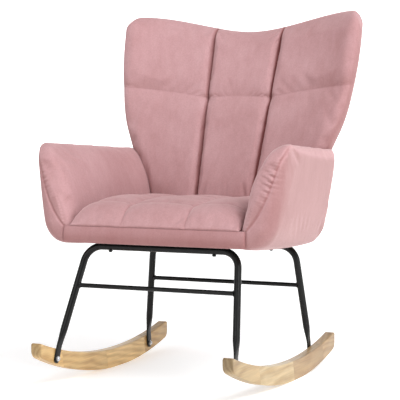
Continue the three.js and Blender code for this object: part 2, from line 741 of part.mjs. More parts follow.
// Across the seat s runs as on the back; r runs 0 front, 1 and 2 at the cross seams, 3 rear
function seatPlace(s, r) {
  const row = Math.min(2, Math.floor(r));
  const y = mix(seatCrosses[row], seatCrosses[row + 1], r - row);
  const edge = seatHalfWidth(y) - gap;
  const x = Math.abs(s) < 1 ? s * seatChannel : Math.sign(s) * mix(seatChannel, edge, Math.abs(s) - 1);
  return { x, y, row };
}

function seatTop(s, r) {
  const { x, y, row } = seatPlace(s, r);
  const across = Math.abs(s) < 1 ? dome(s) : dome(2 * (Math.abs(s) - 1.5)) ** 0.8;
  const along = dome(2 * (r - row) - 1) ** 0.8;
  const edge = Math.abs(s) < 1 ? 0 : quarter((2 - Math.abs(s)) / seatEdgeShare);
  const line = mix(seatLineAt(y - seatFront), seatSideLineAt(y - seatFront), edge);
  const z = line + seatPuff * across * mix(seatChannelPuff, 1, along);
  return new THREE.Vector3(x, y, z);
}

function seatUnderside(s, r) {
  const { x, y } = seatPlace(s, r);
  return new THREE.Vector3(x, y, deckTopAt(y) + gap);
}

function frontBand(grow = 0) {
  const [front, rear] = [seatFront, seatFront + frontBandDepth];
  const [low, high] = [undersideAt(front) - grow, seatFrontSeam + grow];
  const outline = new THREE.Shape();
  outline.moveTo(rear + grow, low);
  outline.lineTo(rear + grow, high);
  outline.lineTo(front - grow + frontBandEdge, high);
  const steps = 6;
  for (let k = 1; k <= steps; k++) {
    const t = k / steps;
    const bulge = frontBandPuff * Math.sin(Math.PI * t) - frontBandEdge * (1 - dome(2 * t - 1));
    outline.lineTo(front - grow - bulge, mix(high, low, t));
  }
  return prismAcross(outline, -frontBandHalfLength, frontBandHalfLength);
}

function addSeatUpholstery() {
  const columns = mirrored([0, 0.4, 0.75, 0.93, 1, 1.07, 1.25, 1.5, 1.7, 1.85, 1.95, 1.985, 2]);
  const rows = [0, 0.06, 0.2, 0.4, 0.65, 0.9, 1, 1.06, 1.25, 1.5, 1.75, 1.94, 2, 2.08, 2.3, 2.6, 2.85, 2.95,
    3];
  const cushion = pad(seatTop, seatUnderside, columns, rows);
  add('seat_cushion', cut(cushion, frontBand(gap)), velvet());
  add('front_band', cut(frontBand(), ...[-1, 1].map((side) => armForm(side, gap))), velvet());
}

// ---- Back -----------------------------------------------------------------------------------------------

function backFaceAt(z) {
  const rise = z - backRakeStart;
  return backFoot + backRake * (rise + Math.hypot(rise, backTurn)) / 2;
}

const backHalfWidth = through(backWidths);
const backSeamHeightAt = (s) => (Math.abs(s) < 1
  ? backSeamHeight + backSeamRiseMiddle * (1 - s * s)
  : backSeamHeight + backSeamRiseEdge * Math.min(1, Math.abs(s) - 1) ** 0.7);
const backTopAt = (share) => {
  const dip = mix(backTopMiddle, backTopWing, ease(share / wingPeakShare));
  return dip - wingShoulder * quarter((1 - share) / (1 - wingPeakShare));
};

function channelAt(z) {
  const rise = (z - backChannelStart) / (backTopMiddle - backChannelStart);
  return mix(backChannel.low, backChannel.high, clamp(rise));
}

// How far the back curves forward at a place across it
function wingWrap(x, z) {
  const reach = wingWrapAtArm + wingWrapSlope * (z - wingStart);
  const rise = ease((z - wrapStart) / (wingStart - wrapStart));
  return reach * rise * (Math.abs(x) / backHalfWidth(z)) ** wingWrapPower;
}

function backDepthAt(z) {
  return mix(backFootThickness, backThickness, ease((z - backRakeStart) / backThinningRise));
}

const backCushionFoot = deckTopAt(backFoot - backPuff) + gap;
const backCoverFoot = undersideAt(armRear);

// Across the back, s runs -2 edge, -1 channel, 0 middle, 1 channel, 2 edge; up it, r runs -1 foot of the
// cover, 0 foot of the cushion, 1 cross seam, 2 top
function backPlace(s, r) {
  const share = Math.abs(s) < 1 ? Math.abs(s) * channelShare : mix(channelShare, 1, Math.abs(s) - 1);
  const heights = [backCoverFoot, backCushionFoot, backSeamHeightAt(s), backTopAt(share)];
  const row = clamp(Math.floor(r), -1, 1);
  const z = mix(heights[row + 1], heights[row + 2], r - row);
  const channel = channelAt(z);
  const x = Math.abs(s) < 1 ? s * channel : Math.sign(s) * mix(channel, backHalfWidth(z), Math.abs(s) - 1);
  return { x, z };
}

// The roundness of the rim: 0 at the edge, 1 where the full thickness starts
function rimDome(s, r, x, z) {
  const side = Math.abs(s) < 1 ? 1 : (backHalfWidth(z) - Math.abs(x)) / backEdgeRound;
  const top = r < 1 ? 1 : (2 - r) * (backTopMiddle - backSeamHeight) / backEdgeRound;
  return dome(1 - clamp(Math.min(side, top)));
}

function quiltPuff(s, r) {
  const across = Math.abs(s) < 1 ? dome(s) : dome(1 - clamp((Math.abs(s) - 1) / quiltSideRound));
  const fromSeam = r < 1 ? (1 - r) / quiltRoundBelow : (r - 1) / quiltRoundAbove;
  return across * mix(quiltSeamPuff, 1, dome(1 - clamp(fromSeam)));
}

// The curved sheet at a distance behind the line of the channels
const backSheet = (setback) => (s, r) => {
  const { x, z } = backPlace(s, r);
  return new THREE.Vector3(x, backFaceAt(z) - wingWrap(x, z) + setback, z);
};

function cushionFace(s, r) {
  const { x, z } = backPlace(s, r);
  const depth = backPanelSetback - gap - backHem + backPuff * quiltPuff(s, r);
  return backSheet(backPanelSetback - gap - backHem - depth * rimDome(s, r, x, z))(s, r);
}

function coverFace(s, r) {
  const { x, z } = backPlace(s, r);
  const depth = backDepthAt(z) - backPanelSetback - gap - backHem;
  return backSheet(backPanelSetback + gap + backHem + depth * rimDome(s, r, x, z))(s, r);
}

// Lines of the back's grid; every second one is a line of the board too, so that the curved faces match
const backColumns = mirrored([0, 0.45, 0.8, 0.95, 1, 1.04, 1.16, 1.35, 1.6, 1.8, 1.92, 1.975, 2]);
const backRows = [0, 0.14, 0.28, 0.42, 0.56, 0.7, 0.82, 0.92, 0.975, 1, 1.03, 1.1, 1.25, 1.45, 1.62, 1.78,
  1.89, 1.96, 2];

// The plywood board inside the back, following its curve, or with some slack the pocket that holds it
function backPanel(slack = 0) {
  const inner = (lines) => lines.filter((line, i) => i % 2 === 0 && Math.abs(line) < backPanelReach);
  const half = inner(backColumns);
  const upper = inner(backRows);
  const widest = half[half.length - 1] + backPocketRoom;
  const highest = upper[upper.length - 1] + backPocketRoom;
  const columns = slack ? [-widest, ...half, widest] : half;
  const rows = slack ? [-1 - backPocketRoom, -1, ...upper, highest] : [-1, ...upper];
  const front = backSheet(backPanelSetback - slack);
  const rear = backSheet(backPanelSetback + backPanelThickness + slack);
  return pad(front, rear, columns, rows, 1);
}

function addBack() {
  const arms = [-1, 1].map((side) => armForm(side, backArmRoom * gap));
  const cushion = pad(cushionFace, backSheet(backPanelSetback - gap), backColumns, backRows);
  const cover = pad(coverFace, backSheet(backPanelSetback + gap), backColumns, [-1, -0.5, ...backRows]);
  add('back_panel', cut(backPanel(), ...arms), ply());
  add('back_cushion', cut(cushion, ...arms), velvet());
  add('back_cover', cut(cover, backPanel(gap), ...arms), velvet());
}

add('rocker_right', rocker(-1), wood());
add('rocker_left', rocker(1), wood());
add('leg_frame_front', legFrame(frontCorner, frontFoot), steel());
add('leg_frame_rear', legFrame(rearCorner, rearFoot), steel());
add('stretcher_front', stretcher(frontCorner, frontFoot, frontStretcherHeight), steel());
add('stretcher_rear', stretcher(rearCorner, rearFoot, rearStretcherHeight), steel());
addRockerFasteners();
addSeatFasteners();
addSeatFrame();
addArms();
addSeatUpholstery();
addBack();

// The origin lies on the floor under the middle of the chair's box
const box = new THREE.Box3().setFromObject(chair);
chair.position.y = -(box.min.y + box.max.y) / 2;

export default chair;
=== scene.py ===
import math

import bpy
import numpy as np
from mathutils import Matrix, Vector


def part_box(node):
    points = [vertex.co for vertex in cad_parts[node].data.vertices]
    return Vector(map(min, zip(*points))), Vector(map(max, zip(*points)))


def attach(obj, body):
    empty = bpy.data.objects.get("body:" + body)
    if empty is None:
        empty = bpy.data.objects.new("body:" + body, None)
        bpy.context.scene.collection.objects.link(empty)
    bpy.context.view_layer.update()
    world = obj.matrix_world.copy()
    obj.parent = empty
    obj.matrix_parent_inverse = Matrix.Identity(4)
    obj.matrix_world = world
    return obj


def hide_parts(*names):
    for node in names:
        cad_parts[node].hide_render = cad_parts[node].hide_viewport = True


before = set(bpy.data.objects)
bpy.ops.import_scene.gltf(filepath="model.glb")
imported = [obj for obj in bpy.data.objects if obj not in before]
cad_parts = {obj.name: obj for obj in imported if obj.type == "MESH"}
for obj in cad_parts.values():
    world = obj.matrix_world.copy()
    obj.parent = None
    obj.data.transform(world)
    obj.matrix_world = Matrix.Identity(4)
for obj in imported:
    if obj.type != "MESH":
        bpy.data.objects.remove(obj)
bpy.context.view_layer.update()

# Camera and light. The chair stands in a pale studio cove under a large soft source high on its left hand,
# with two weak ones from the front and that side and an even white surround.
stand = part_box("rocker_left")[0][1] + 0.444  # where the rockers touch the floor, along Y
camera_turn = math.radians(24.524)
camera_rise = math.radians(3.3)
camera_data = bpy.data.cameras.new("camera")
camera_data.lens = 126.97
camera_data.sensor_width = 36
camera = bpy.data.objects.new("camera", camera_data)
camera.location = (1.61009, stand - 3.54282, 0.70242)
camera.rotation_euler = (math.pi / 2 - camera_rise, 0, camera_turn)
bpy.context.scene.collection.objects.link(camera)
bpy.context.scene.camera = camera
bpy.context.scene.view_settings.view_transform = "Standard"

surround = bpy.data.worlds.new("surround")
surround.use_nodes = True
surround.node_tree.nodes["Background"].inputs["Color"].default_value = (1, 1, 1, 1)
surround.node_tree.nodes["Background"].inputs["Strength"].default_value = 0.51
bpy.context.scene.world = surround


def studio_lamp(name, place, width, height, power):
    """A rectangular soft lamp, turned to shine at the middle of the seat."""
    lamp = bpy.data.lights.new(name, "AREA")
    lamp.shape = "RECTANGLE"
    lamp.size, lamp.size_y, lamp.energy = width, height, power
    holder = bpy.data.objects.new(name, lamp)
    away = np.array(place) - np.array([0, 0, 0.5])
    holder.location = place
    holder.rotation_euler = (math.atan2(math.hypot(away[0], away[1]), away[2]), 0,
                             math.atan2(away[0], -away[1]))
    bpy.context.scene.collection.objects.link(holder)


studio_lamp("key_lamp", (4.8, -2.2, 6.0), width=4.0, height=4.0, power=410)
studio_lamp("front_lamp", (-0.9, -4.8, 2.0), width=3.0, height=2.4, power=54)
studio_lamp("side_lamp", (5.5, -0.6, 1.2), width=3.0, height=2.0, power=58)


def sheet_mesh(name, points, closed=False, caps=False):
    """A mesh over a grid of points. closed joins the ends of each row, caps fills the first and last row."""
    rows, columns = points.shape[:2]
    index = np.arange(rows * columns).reshape(rows, columns)
    across = np.concatenate([index, index[:, :1]], axis=1) if closed else index
    quads = np.stack([across[:-1, :-1], across[:-1, 1:], across[1:, 1:], across[1:, :-1]], axis=-1)
    faces = quads.reshape(-1, 4).tolist()
    if caps:
        faces += [index[0, ::-1].tolist(), index[-1].tolist()]
    mesh = bpy.data.meshes.new(name)
    mesh.from_pydata(points.reshape(-1, 3).tolist(), [], faces)
    mesh.update()
    return mesh


def face_outwards(mesh):
    """Turns a closed mesh right side out: its signed volume, summed over its triangles, is made positive."""
    mesh.calc_loop_triangles()
    corners = np.empty(len(mesh.loop_triangles) * 3, np.int32)
    mesh.loop_triangles.foreach_get("vertices", corners)
    co = np.empty(len(mesh.vertices) * 3)
    mesh.vertices.foreach_get("co", co)
    a, b, c = co.reshape(-1, 3)[corners.reshape(-1, 3)].transpose(1, 0, 2)
    if np.einsum("ij,ij->i", a, np.cross(b, c)).sum() < 0:
        mesh.flip_normals()


def place_piece(name, mesh, material, corner=None):
    """An object at the origin with smooth faces, sharp where two faces meet at more than the corner angle."""
    face_outwards(mesh)
    mesh.shade_smooth()
    if corner:
        mesh.set_sharp_from_angle(angle=math.radians(corner))
    mesh.materials.clear()
    mesh.materials.append(material)
    piece = bpy.data.objects.new(name, mesh)
    bpy.context.scene.collection.objects.link(piece)
    return piece


def shader(name, roughness, metallic=0.0):
    """A new material with its Principled shader, and a function that adds and links nodes to it."""
    material = bpy.data.materials.new(name)
    material.use_nodes = True
    tree = material.node_tree
    surface = tree.nodes["Principled BSDF"]
    surface.inputs["Roughness"].default_value = roughness
    surface.inputs["Metallic"].default_value = metallic

    def add(kind, out=0, **given):
        made = tree.nodes.new(kind)
        for key, value in given.items():
            if key.startswith("set_"):
                setattr(made, key[4:], value)
                continue
            numbered = key[0] == "i" and key[1:].isdigit()
            socket = made.inputs[int(key[1:]) if numbered else key.replace("_", " ")]
            if isinstance(value, bpy.types.NodeSocket):
                tree.links.new(value, socket)
            else:
                socket.default_value = value
        return made.outputs[out]

    return material, surface, add, tree.links.new


# Studio cove: a pale sheet that runs along the floor and curves up well behind the chair, a little
# brighter towards its far end, where less of the lamps' light arrives.
cove_half, cove_front, cove_back, cove_radius, cove_wall = 19.0, -19, 8, 1.5, 3.5
cove_run = np.linspace(0, 1, 60)
cove_turn = np.clip((cove_run - 0.6) / 0.3, 0, 1) * math.pi / 2
cove_y = np.where(cove_run < 0.6, cove_front + cove_run / 0.6 * (cove_back - cove_front),
                  cove_back + cove_radius * np.sin(cove_turn))
cove_z = np.where(cove_run < 0.9, cove_radius * (1 - np.cos(cove_turn)),
                  cove_radius + (cove_run - 0.9) / 0.1 * cove_wall)
cove_x = np.broadcast_to(np.array([-cove_half, cove_half]), (len(cove_run), 2))
cove_points = np.stack([cove_x, np.repeat(cove_y[:, None], 2, 1), np.repeat(cove_z[:, None], 2, 1)], axis=-1)
paper, paper_surface, paper_add, paper_link = shader("backdrop_paper", 0.9)
paper_surface.inputs["Base Color"].default_value = (0.93, 0.93, 0.93, 1)
paper_surface.inputs["Emission Color"].default_value = (1, 1, 1, 1)
paper_depth = paper_add("ShaderNodeSeparateXYZ", Vector=paper_add("ShaderNodeTexCoord", out=3), out=1)
paper_glow = paper_add("ShaderNodeMapRange", Value=paper_depth, From_Min=1.5, From_Max=8.0, To_Min=0.38,
                       To_Max=0.85)
paper_link(paper_glow, paper_surface.inputs["Emission Strength"])
cove_mesh = sheet_mesh("studio_cove", cove_points)
cove_mesh.shade_smooth()
cove_mesh.materials.append(paper)
cove = bpy.data.objects.new("studio_cove", cove_mesh)
bpy.context.scene.collection.objects.link(cove)

# Rockers: two planks glued up from short blocks of pale hardwood, bent to one curve, edges eased and tips
# rounded, with a clear satin lacquer. The blocks differ in colour and grain; the darker rear blocks also hold
# painted shade, and both planks are painted darker towards their ends as shade.
rocker_track, rocker_thickness, rocker_edge = 0.538, 0.028, 0.003
rocker_low_radius, rocker_top_radius, rocker_height = 1.130, 1.370, 0.053
rocker_front, rocker_rear, rocker_flat = -0.444, 0.306, 0.045
tip_sole, tip_top, tip_rise = 0.017, 0.007, 0.024


def rocker_sole(y):
    """Height of the sole: an arc of its radius, less the sag of the short flat that the chair rests on."""
    sag = rocker_low_radius - math.sqrt(rocker_low_radius ** 2 - rocker_flat ** 2)
    return np.maximum(0, rocker_low_radius - np.sqrt(rocker_low_radius ** 2 - y * y) - sag)


def rocker_top(y):
    """Height of the plank's upper edge: an arc of a larger radius above the sole."""
    return rocker_height + rocker_top_radius - np.sqrt(rocker_top_radius ** 2 - y * y)


def tip_curve(start, control, end, steps):
    """A parabola from start to end whose two tangents meet at the control point."""
    t = np.linspace(0, 1, steps)[:, None]
    return (1 - t) ** 2 * np.array(start) + 2 * t * (1 - t) * np.array(control) + t * t * np.array(end)


def rocker_outline():
    """The plank's side view: sole to the rear, rounded rear tip, upper edge back, rounded front tip."""
    def tip(end, way):
        foot = end - way * tip_sole
        shoulder = end - way * tip_top
        low = tip_curve((foot, rocker_sole(foot)), (end, rocker_sole(end)),
                        (end, rocker_sole(foot) + tip_rise), 10)
        high = rocker_top(shoulder)
        return np.concatenate([low, tip_curve((end, high - tip_top), (end, high), (shoulder, high), 8)])
    below = np.linspace(rocker_front + tip_sole, rocker_rear - tip_sole, 120)[1:-1]
    above = np.linspace(rocker_rear - tip_top, rocker_front + tip_top, 100)[1:-1]
    return np.concatenate([np.stack([below, rocker_sole(below)], 1), tip(rocker_rear, 1),
                           np.stack([above, rocker_top(above)], 1), tip(rocker_front, -1)[::-1]])


def plank_mesh(name, outline, side):
    """The outline at several depths through the plank, drawn in along a quarter circle at both faces."""
    ahead, behind = np.roll(outline, -1, 0), np.roll(outline, 1, 0)
    run = ahead - behind
    inward = np.stack([-run[:, 1], run[:, 0]], 1) / np.linalg.norm(run, axis=1)[:, None]
    turn = np.linspace(0, math.pi / 2, 6)
    depth = rocker_thickness / 2 - rocker_edge + rocker_edge * np.sin(turn)
    draw = rocker_edge * (1 - np.cos(turn))
    across = np.concatenate([-depth[::-1], depth])
    drawn = np.concatenate([draw[::-1], draw])
    flat = outline[None] + inward[None] * drawn[:, None, None]
    x = np.broadcast_to((side * rocker_track / 2 + across)[:, None], flat.shape[:2])
    points = np.stack([x, flat[..., 0] + stand, flat[..., 1]], axis=-1)
    return sheet_mesh(name, points, closed=True, caps=True)


def rocker_wood(name, shift, tints_and_shade):
    """Blocks along the plank, each with its own colour and its own place in the log, so that broad cathedral
    arcs and fine fibres change from block to block; the block colours also hold painted shade on the darker
    rear blocks. The plank is painted darker towards both ends as shade, and both ends show darker end grain."""
    wood, surface, add, link = shader(name, 0.42)
    place = add("ShaderNodeTexCoord", out=3)
    moved = add("ShaderNodeMapping", Vector=place, Location=(0, -stand + shift, 0))
    split = add("ShaderNodeSeparateXYZ", Vector=moved)
    parts = split.node.outputs
    slant = add("ShaderNodeMath", set_operation="MULTIPLY_ADD", i0=parts[2], i1=0.25, i2=parts[1])
    count = add("ShaderNodeMath", set_operation="DIVIDE", i0=slant, i1=block_length)
    block = add("ShaderNodeMath", set_operation="FLOOR", i0=count)
    random = add("ShaderNodeTexWhiteNoise", out=1, set_noise_dimensions="1D", W=block)
    spread = add("ShaderNodeVectorMath", set_operation="MULTIPLY", i0=random, i1=(0.16, 0.4, 0.16))
    grain_place = add("ShaderNodeVectorMath", set_operation="ADD", i0=moved, i1=spread)
    wander = add("ShaderNodeTexNoise", Scale=1.0, Detail=2.0, out=1,
                 Vector=add("ShaderNodeMapping", Vector=grain_place, Scale=(14, 3.5, 14)))
    bent = add("ShaderNodeVectorMath", set_operation="MULTIPLY_ADD", i0=wander, i1=(0.05, 0.0, 0.05),
               i2=grain_place)
    rings = add("ShaderNodeTexWave", out=1, set_wave_type="RINGS", set_rings_direction="Y",
                Vector=add("ShaderNodeMapping", Vector=bent, Rotation=(0.1, 0, 0.05)),
                Scale=26.0, Distortion=0.8, Detail=2.0)
    fibres = add("ShaderNodeTexNoise", Scale=1.0, Detail=5.0, Roughness=0.65,
                 Vector=add("ShaderNodeMapping", Vector=grain_place, Scale=(300, 9, 300)))
    cloud = add("ShaderNodeTexNoise", Vector=grain_place, Scale=9.0, Detail=2.0)
    grain = add("ShaderNodeMix", out=0, i0=0.7, i2=rings, i3=cloud)
    ramp = add("ShaderNodeValToRGB", Fac=grain)
    band = ramp.node.color_ramp
    band.elements[0].position, band.elements[0].color = 0.16, (0.43, 0.245, 0.080, 1)
    band.elements[1].position, band.elements[1].color = 0.64, (0.67, 0.46, 0.208, 1)
    # Each block's colour from the list, which is partly the wood's own and partly painted shade on the darker
    # rear blocks.
    which = add("ShaderNodeMath", set_operation="MULTIPLY_ADD", i0=block, i1=0.25, i2=0.625)
    tint_and_shade = add("ShaderNodeValToRGB", Fac=which)
    steps = tint_and_shade.node.color_ramp
    steps.interpolation = "CONSTANT"
    steps.elements[1].position = 0.25
    for start in (0.5, 0.75):
        steps.elements.new(start)
    for step, colour in zip(steps.elements, tints_and_shade):
        step.color = (*colour, 1)
    tone = add("ShaderNodeMapRange", Value=fibres, From_Min=0.32, From_Max=0.7, To_Min=0.76, To_Max=1.07)
    edge = add("ShaderNodeMath", set_operation="PINGPONG", i0=count, i1=0.5)
    joint = add("ShaderNodeMapRange", Value=edge, From_Min=0.0, From_Max=0.004, To_Min=0.8, To_Max=1.0)
    from_middle = add("ShaderNodeMath", set_operation="ABSOLUTE",
                      i0=add("ShaderNodeMath", set_operation="ADD", i0=parts[1], i1=-shift + 0.069))
    end_grain = add("ShaderNodeMapRange", Value=from_middle, From_Min=0.366, From_Max=0.374, To_Min=1.0,
                    To_Max=0.62)
    # Painted shade: the plank grows darker towards both ends.
    painted_end_shade = add("ShaderNodeMapRange", Value=from_middle, From_Min=0.16, From_Max=0.35, To_Min=1.0, To_Max=0.76)
    # Dark joints, darker end grain and the painted shade towards the ends, together.
    joints_ends_and_shade = add("ShaderNodeMath", set_operation="MULTIPLY", i1=end_grain,
               i0=add("ShaderNodeMath", set_operation="MULTIPLY", i0=joint, i1=painted_end_shade))
    all_shade = add("ShaderNodeMath", set_operation="MULTIPLY", i0=tone, i1=joints_ends_and_shade)
    tinted_and_shaded = add("ShaderNodeVectorMath", set_operation="MULTIPLY", i0=ramp, i1=tint_and_shade)
    link(add("ShaderNodeVectorMath", set_operation="SCALE", i0=tinted_and_shaded, Scale=all_shade),
         surface.inputs["Base Color"])
    link(add("ShaderNodeMapRange", Value=fibres, To_Min=0.36, To_Max=0.55), surface.inputs["Roughness"])
    link(add("ShaderNodeBump", Strength=0.25, Distance=0.0004, Height=fibres), surface.inputs["Normal"])
    surface.inputs["Coat Weight"].default_value = 0.2
    surface.inputs["Coat Roughness"].default_value = 0.3
    return wood


def stand_for(piece, node):
    """Puts a piece in the place of its CAD solid, riding with the chair."""
    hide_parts(node)
    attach(piece, "root")


block_length = 0.235
# Colours of the four blocks of each plank, front to rear: the wood's own, with painted shade in the darker
# rear blocks.
block_tints_and_shade = {"right": ((1.22, 1.17, 1.08), (1.00, 0.95, 0.86), (1.18, 1.15, 1.05), (0.95, 0.85, 0.68)),
               "left": ((0.81, 0.83, 0.89), (0.84, 0.93, 1.12), (0.58, 0.54, 0.53), (0.73, 0.69, 0.72))}
for hand, side, shift in (("right", -1, 0.075), ("left", 1, 0.02)):
    plank = place_piece(f"plank_{hand}", plank_mesh(f"plank_{hand}", rocker_outline(), side),
                        rocker_wood(f"block_wood_{hand}", shift, block_tints_and_shade[hand]), corner=50)
    stand_for(plank, f"rocker_{hand}")

# Leg frames: round steel tube bent to a U with soft corners, its feet pressed flat where they are bolted to
# the rockers, all in satin black powder coat.
tube, bend_radius, fit_gap = 0.0095, 0.048, 0.0003
tongue_thin, tongue_wide, tongue_length, press_length = 0.0026, 0.012, 0.034, 0.052
tongue_middle = rocker_track / 2 - rocker_thickness / 2 - fit_gap - tongue_thin
front_corner, front_foot = (0.217, -0.2545, 0.3645), (-0.364, 0.075)
rear_corner, rear_foot = (0.220, 0.141, 0.346), (0.176, 0.0385)


def ease(t):
    """A soft step from 0 to 1, flat at both ends."""
    t = np.clip(t, 0, 1)
    return t * t * (3 - 2 * t)


def leg_run(corner, foot):
    """One leg's centreline from the round end of its tongue up to the middle of the rail: places, half widths
    across and along the chair, and how square the section is."""
    top = np.array(corner)
    bolt = np.array([tongue_middle, foot[0], foot[1]])
    up = np.array([0, corner[1] - foot[0], corner[2] - foot[1]])
    up /= np.linalg.norm(up)
    flat_top = bolt + up * tongue_length
    to_top = top - flat_top
    length = np.linalg.norm(to_top)
    along = to_top / length
    turn = np.linspace(-math.pi / 2, 0, 9)
    end = bolt + up * (tongue_wide * np.sin(turn))[:, None]
    end_width = tongue_wide * np.maximum(np.cos(turn), 0.06)
    press = np.linspace(0, 1, 14)[1:]
    flattening = flat_top + along * (press_length * press)[:, None]
    inward = np.array([-1.0, 0, 0])
    back = -along
    half = math.acos(np.clip(back @ inward, -1, 1)) / 2
    reach = bend_radius / math.tan(half)
    centre = top + (back + inward) / np.linalg.norm(back + inward) * bend_radius / math.sin(half)
    first, last = top + back * reach - centre, top + inward * reach - centre
    sweep = math.acos(np.clip(first @ last / bend_radius ** 2, -1, 1))
    t = np.linspace(0, 1, 16)[:, None]
    corner_arc = centre + (first * np.sin((1 - t) * sweep) + last * np.sin(t * sweep)) / math.sin(sweep)
    straight_share = np.linspace(0, 1, 8)[1:-1, None]
    straight = flattening[-1] * (1 - straight_share) + corner_arc[0] * straight_share
    rail = np.linspace(corner_arc[-1][0], 0, 6)[1:, None] * np.array([1.0, 0, 0]) + top * np.array([0, 1, 1])
    places = np.concatenate([end, flat_top[None], flattening, straight, corner_arc, rail])
    thin = np.full(len(places), tube)
    wide = np.full(len(places), tube)
    square = np.zeros(len(places))
    tongue, pressed = slice(0, 10), slice(10, 23)
    thin[tongue], wide[tongue], square[tongue] = tongue_thin, np.append(end_width, tongue_wide), 1
    soft = ease(press)
    thin[pressed] = tongue_thin + (tube - tongue_thin) * soft
    wide[pressed] = tongue_wide + (tube - tongue_wide) * soft
    square[pressed] = 1 - soft
    return places, thin, wide, square


def frame_mesh(name, corner, foot):
    """Rings carried along both legs and the rail: each ring is an ellipse whose powers run towards a rounded
    rectangle where the foot is flattened."""
    places, thin, wide, square = leg_run(corner, foot)
    other = places[::-1][1:] * np.array([-1, 1, 1])
    places = np.concatenate([places, other])
    thin, wide, square = (np.concatenate([v, v[::-1][1:]]) for v in (thin, wide, square))
    normal = np.array([0, corner[2] - foot[1], foot[0] - corner[1]])
    normal /= np.linalg.norm(normal)
    run = np.gradient(places, axis=0)
    run /= np.linalg.norm(run, axis=1)[:, None]
    across = np.cross(normal, run)
    across /= np.linalg.norm(across, axis=1)[:, None]
    straight_across = np.sign(across[:, :1]) * np.array([1.0, 0, 0])
    thin_way = across * (1 - square[:, None]) + straight_across * square[:, None]
    thin_way /= np.linalg.norm(thin_way, axis=1)[:, None]
    angle = np.linspace(0, 2 * math.pi, 36, endpoint=False)
    power = (1 - 0.45 * square)[:, None]
    c = np.sign(np.cos(angle)) * np.abs(np.cos(angle)) ** power * thin[:, None]
    s = np.sign(np.sin(angle)) * np.abs(np.sin(angle)) ** power * wide[:, None]
    rings = places[:, None] + thin_way[:, None] * c[..., None] + normal * s[..., None]
    rings[..., 1] += stand
    return sheet_mesh(name, rings, closed=True, caps=True)


def two_tones(made, pattern, dark, light, relief, strength, distance):
    """Colours a finish between two tones by a pattern, and raises it a little by the relief."""
    _, surface, add, link = made
    ramp = add("ShaderNodeValToRGB", Fac=pattern)
    ramp.node.color_ramp.elements[0].color = (*dark, 1)
    ramp.node.color_ramp.elements[1].color = (*light, 1)
    link(ramp, surface.inputs["Base Color"])
    link(add("ShaderNodeBump", Strength=strength, Distance=distance, Height=relief), surface.inputs["Normal"])


def powder_coat():
    """Near-black paint with the faint orange-peel of a sprayed powder and slightly uneven gloss."""
    made = coat, surface, add, link = shader("powder_coat", 0.36)
    place = add("ShaderNodeTexCoord", out=3)
    peel = add("ShaderNodeTexNoise", Vector=place, Scale=900.0, Detail=2.0)
    cloud = add("ShaderNodeTexNoise", Vector=place, Scale=14.0, Detail=3.0)
    two_tones(made, cloud, (0.004, 0.004, 0.004), (0.009, 0.009, 0.009), peel, 0.2, 0.0002)
    link(add("ShaderNodeMapRange", Value=cloud, To_Min=0.2, To_Max=0.32), surface.inputs["Roughness"])
    surface.inputs["Specular IOR Level"].default_value = 0.2
    return coat


black = powder_coat()
for name, node, corner, foot in (("front_legs", "leg_frame_front", front_corner, front_foot),
                                 ("rear_legs", "leg_frame_rear", rear_corner, rear_foot)):
    legs = place_piece(name, frame_mesh(name, corner, foot), black, corner=45)
    stand_for(legs, node)

# Stretchers: thinner steel rods between the legs, coped to the tube and welded round with a small bead,
# then coated with the frames.
rod = 0.006


def rod_mesh(name, corner, foot, height):
    """A round rod along X whose end rings follow the leg's round wall, then swell to a weld bead there: the
    bead's radius falls off with the distance from the wall."""
    top = np.array(corner)
    up = np.array([0, corner[1] - foot[0], corner[2] - foot[1]])
    up /= np.linalg.norm(up)
    low = np.array([tongue_middle, foot[0], foot[1]]) + up * tongue_length
    middle = top + (low - top) * (top[2] - height) / (top[2] - low[2])
    lean = (top - low) / np.linalg.norm(top - low)
    angle = np.linspace(0, 2 * math.pi, 28, endpoint=False)
    out_y, out_z = np.cos(angle), np.sin(angle)
    from_wall = np.array([0.0, 0.0006, 0.0014, 0.0024, 0.0036, 0.005, 0.03, 0.08, 0.14])
    bead = rod + 0.0021 * np.exp(-(from_wall / 0.0021) ** 2)
    shape = np.abs(-lean[2] * out_y + lean[1] * out_z)
    wall = np.sqrt(np.clip(tube ** 2 - (rod * shape) ** 2, 0, None)) + fit_gap
    slope = -(lean[0] / lean[2]) * rod * out_z
    from_wall, bead = from_wall[:, None], bead[:, None]
    curved, leaning = np.exp(-(from_wall / 0.02) ** 2), np.exp(-(from_wall / 0.01) ** 2)
    half = middle[0] - wall * curved - slope * leaning - tube * (1 - curved) - from_wall
    rings = np.stack([half, middle[1] + stand + bead * out_y, middle[2] + bead * out_z], axis=-1)
    other = (rings * np.array([-1, 1, 1]))[::-1]
    return sheet_mesh(name, np.concatenate([rings, other]), closed=True, caps=True)


for name, node, corner, foot, height in (
        ("front_rod", "stretcher_front", front_corner, front_foot, 0.2625),
        ("rear_rod", "stretcher_rear", rear_corner, rear_foot, 0.2365)):
    bar = place_piece(name, rod_mesh(name, corner, foot, height), black, corner=60)
    stand_for(bar, node)

# Bolts, washers, inserts and tee nuts: small turned steel, bright zinc plated, with a faint brushed grain.
# The seat bolts are black like the rails.


def finish_nodes(starts, material):
    """Gives the material to every CAD node whose name starts so."""
    for node_name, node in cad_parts.items():
        if node_name.startswith(starts):
            for place in node.material_slots:
                place.material = material


made = zinc, surface, add, link = shader("zinc_plate", 0.3, 1.0)
scratch = add("ShaderNodeTexNoise", Vector=add("ShaderNodeTexCoord", out=3), Scale=700.0, Detail=4.0)
two_tones(made, scratch, (0.52, 0.54, 0.57), (0.78, 0.79, 0.80), scratch, 0.15, 0.0001)
link(add("ShaderNodeMapRange", Value=scratch, To_Min=0.2, To_Max=0.42), surface.inputs["Roughness"])
finish_nodes(("rocker_bolt", "rocker_washer", "rocker_insert", "tee_nut"), zinc)
finish_nodes("seat_bolt", black)

